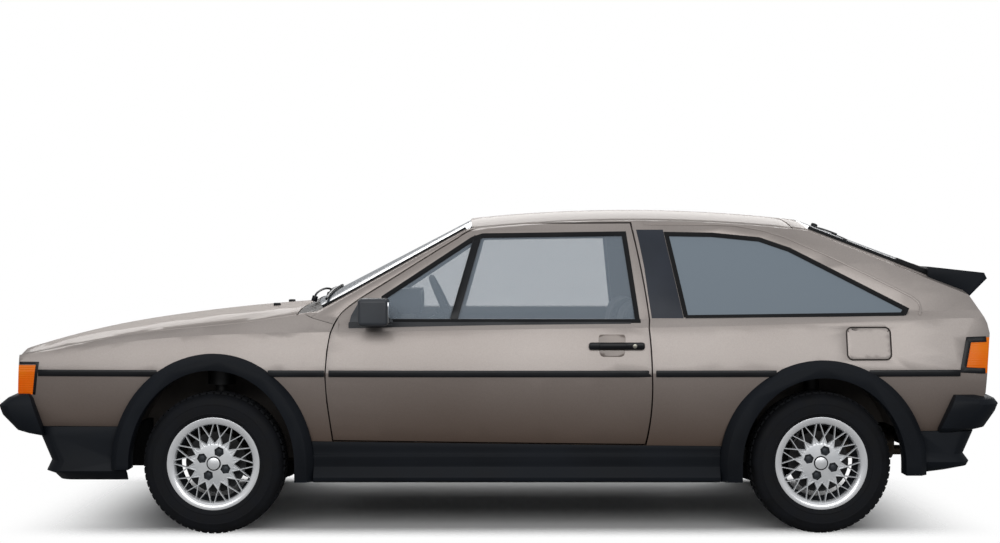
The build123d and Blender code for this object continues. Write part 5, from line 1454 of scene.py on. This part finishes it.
class COUPE_OT_engine_bay(bpy.types.Operator):
    """Dress the engine block and fill the bay round it"""
    bl_idname = "coupe.engine_bay"
    bl_label = "Engine bay"

    def execute(self, context):
        low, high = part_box("engine")
        deck = Vector((low.x, 0, high.z))
        cover = [brick("rocker", deck + Vector(ROCKER[0]), deck + Vector(ROCKER[1]), 0.012, "cast")]
        cover += [brick("fin", deck + Vector((FIN_X[0], step * FIN_STEP, FIN_Z[0])),
                        deck + Vector((FIN_X[1], step * FIN_STEP + FIN_WIDTH, FIN_Z[1])), 0.002, "cast")
                  for step in FIN_STEPS]
        cover.append(drum("oil_cap", deck + Vector(OIL_CAP), (0, 0, 1), 0.024, 0.020, "abs", 28))
        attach(joined("rocker_cover", cover), "body")
        pulleys = [drum("pulley", (low.x + x, low.y - PULLEY_OUT, z), (0, 1, 0), radius, PULLEY_DEPTH,
                        "iron", 40, 0.003) for x, z, radius in PULLEYS]
        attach(joined("pulleys", pulleys), "body")
        battery = [brick("case", *BATTERY_CASE)]
        battery += [drum(name, place, (0, 0, 1), 0.009, 0.018, "zinc", 16)
                    for name, place in BATTERY_POLES.items()]
        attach(joined("battery", battery), "body")
        for piece in (brick("radiator", *RADIATOR),
                      drum("radiator_fan", FAN_AT, (1, 0, 0), FAN_RADIUS, FAN_DEPTH, "abs", 40),
                      tube("radiator_hose", HOSE, HOSE_RADIUS, "seal"),
                      brick("washer_bottle", *WASHER_BOTTLE)):
            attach(piece, "body")
        return {"FINISHED"}


# Share of the white studio that mirror-like reflections show
MIRRORED_SHARE = 0.2


def seen_rays(tree):
    """One where the eye, a reflection or a pane looks at the studio, and zero for its light on the car."""
    path = add(tree, "ShaderNodeLightPath")
    share = path.outputs["Is Camera Ray"]
    # Reflections show the white studio dimmed by the dark gear that stands round a real one.
    dim = add(tree, "ShaderNodeMath", {0: path.outputs["Is Glossy Ray"], 1: MIRRORED_SHARE},
              operation="MULTIPLY")
    for other in (dim.outputs[0], path.outputs["Is Transmission Ray"]):
        share = add(tree, "ShaderNodeMath", {0: share, 1: other}, operation="MAXIMUM").outputs[0]
    return share


# The camera looks level across the car: its place, lens, sensor width and shift
CAMERA_AT, LENS, SENSOR, SHIFT = (0.0, -6.88, 1.123), 55.77, 36.0, -0.0215
FLOOR_RADIUS = 9.0
# Distances from the car's middle between which the floor, seen directly, fades out
FADES = (("X", 1.35, 2.05), ("Y", 0.58, 0.86))
# Large soft box above, and a long weak one each side, as in a car studio: place, size, power
SOFT_BOXES = {"top_box": ((0, 0, 4.6), (9.0, 5.0), "top_power"),
              "left_box": ((0, -6.5, 3.2), (10.0, 2.2), "side_power"),
              "right_box": ((0, 6.5, 3.2), (10.0, 2.2), "side_power")}
AIM = Vector((0, 0, 0.5))


def floor_finish():
    """Pale studio floor that fades into white air where it is seen, and is plain grey to the car."""
    mat = bpy.data.materials.new("pale studio floor")
    mat.use_nodes = True
    tree = mat.node_tree
    shader = tree.nodes["Principled BSDF"]
    shader.inputs["Base Color"].default_value = linear("#F4F4F3")
    shader.inputs["Roughness"].default_value = 0.9
    # Seen directly, the floor fades out into the white air just outside the car's own shadow.
    place = add(tree, "ShaderNodeSeparateXYZ",
                {"Vector": add(tree, "ShaderNodeTexCoord").outputs["Object"]})
    shares = []
    for axis, near, far in FADES:
        reach = add(tree, "ShaderNodeMath", {0: place.outputs[axis]}, operation="ABSOLUTE")
        shares.append(add(tree, "ShaderNodeMapRange",
                          {"Value": reach.outputs[0], "From Min": near, "From Max": far, "To Min": 1.0,
                           "To Max": 0.0}, interpolation_type="SMOOTHSTEP").outputs["Result"])
    fade = add(tree, "ShaderNodeMath", {0: shares[0], 1: shares[1]}, operation="MULTIPLY")
    air = add(tree, "ShaderNodeBsdfTransparent")
    seen = add(tree, "ShaderNodeMixShader", {0: fade.outputs[0], 1: air.outputs[0], 2: shader.outputs[0]})
    # For its own light on the car it is a plain grey studio floor all over.
    felt = add(tree, "ShaderNodeBsdfDiffuse", {"Color": linear("#8C8B89")})
    blend = add(tree, "ShaderNodeMixShader", {0: seen_rays(tree), 1: felt.outputs[0], 2: seen.outputs[0]})
    tree.links.new(blend.outputs[0], tree.nodes["Material Output"].inputs["Surface"])
    return mat


def studio_air(strength):
    """Even pale light all round the car, which itself looks white."""
    world = bpy.data.worlds.new("studio air")
    world.use_nodes = True
    tree = world.node_tree
    felt = tree.nodes["Background"]
    felt.inputs["Color"].default_value = linear("#DCE0E6")
    felt.inputs["Strength"].default_value = strength
    seen = add(tree, "ShaderNodeBackground", {"Color": (1.0, 1.0, 1.0, 1.0), "Strength": 1.0})
    blend = add(tree, "ShaderNodeMixShader", {0: seen_rays(tree), 1: felt.outputs[0], 2: seen.outputs[0]})
    tree.links.new(blend.outputs[0], tree.nodes["World Output"].inputs["Surface"])
    return world


class COUPE_OT_stage(bpy.types.Operator):
    """Set the floor, the soft lights and the camera"""
    bl_idname = "coupe.stage"
    bl_label = "Studio stage"

    def execute(self, context):
        look, scene = context.scene.coupe_look, context.scene
        clear()
        bpy.ops.object.camera_add(location=CAMERA_AT, rotation=(math.radians(90), 0, 0))
        scene.camera = context.object
        scene.camera.name = "camera"
        eye = scene.camera.data
        eye.lens, eye.sensor_width, eye.shift_y = LENS, SENSOR, SHIFT
        bpy.ops.mesh.primitive_circle_add(vertices=96, radius=FLOOR_RADIUS, fill_type="NGON")
        floor = settle(context.object, "studio_floor")
        floor.data.materials.append(floor_finish())
        for name, (place, size, strength) in SOFT_BOXES.items():
            clear()
            turn = (AIM - Vector(place)).to_track_quat("-Z", "Y").to_euler()
            bpy.ops.object.light_add(type="AREA", location=place, rotation=turn)
            context.object.name = name
            lamp = context.object.data
            lamp.shape, lamp.size, lamp.size_y = "RECTANGLE", *size
            lamp.energy = getattr(look, strength)
        scene.world = studio_air(look.air_power)
        scene.view_settings.view_transform = "Standard"
        return {"FINISHED"}


STEPS = (COUPE_OT_panels, COUPE_OT_belt, COUPE_OT_window_trim, COUPE_OT_splash_panels,
         COUPE_OT_arch_liners, COUPE_OT_handles, COUPE_OT_wheels, COUPE_OT_lamps, COUPE_OT_plates,
         COUPE_OT_pane_seals, COUPE_OT_wipers, COUPE_OT_mirrors, COUPE_OT_seats, COUPE_OT_cabin,
         COUPE_OT_engine_bay, COUPE_OT_stage)


class COUPE_PT_panel(bpy.types.Panel):
    """Sizes, colours and the building steps of the coupe"""
    bl_label = "Hatchback Coupe"
    bl_idname = "COUPE_PT_panel"
    bl_space_type = "VIEW_3D"
    bl_region_type = "UI"
    bl_category = "Coupe"

    def draw(self, context):
        look = context.scene.coupe_look
        for name in look.bl_rna.properties.keys():
            if name not in ("rna_type", "name"):
                self.layout.prop(look, name)
        for step in STEPS:
            self.layout.operator(step.bl_idname)


CLASSES = (CoupeLook,) + STEPS + (COUPE_PT_panel,)


def main():
    """Register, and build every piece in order."""
    register()
    for step in STEPS:
        getattr(bpy.ops.coupe, step.bl_idname.split(".")[1])()


def register():
    """Add the classes and the car's own settings to Blender."""
    for cls in CLASSES:
        bpy.utils.register_class(cls)
    bpy.types.Scene.coupe_look = bpy.props.PointerProperty(type=CoupeLook)


def unregister():
    """Take them out again."""
    del bpy.types.Scene.coupe_look
    for cls in reversed(CLASSES):
        bpy.utils.unregister_class(cls)


if __name__ == "__main__":
    main()
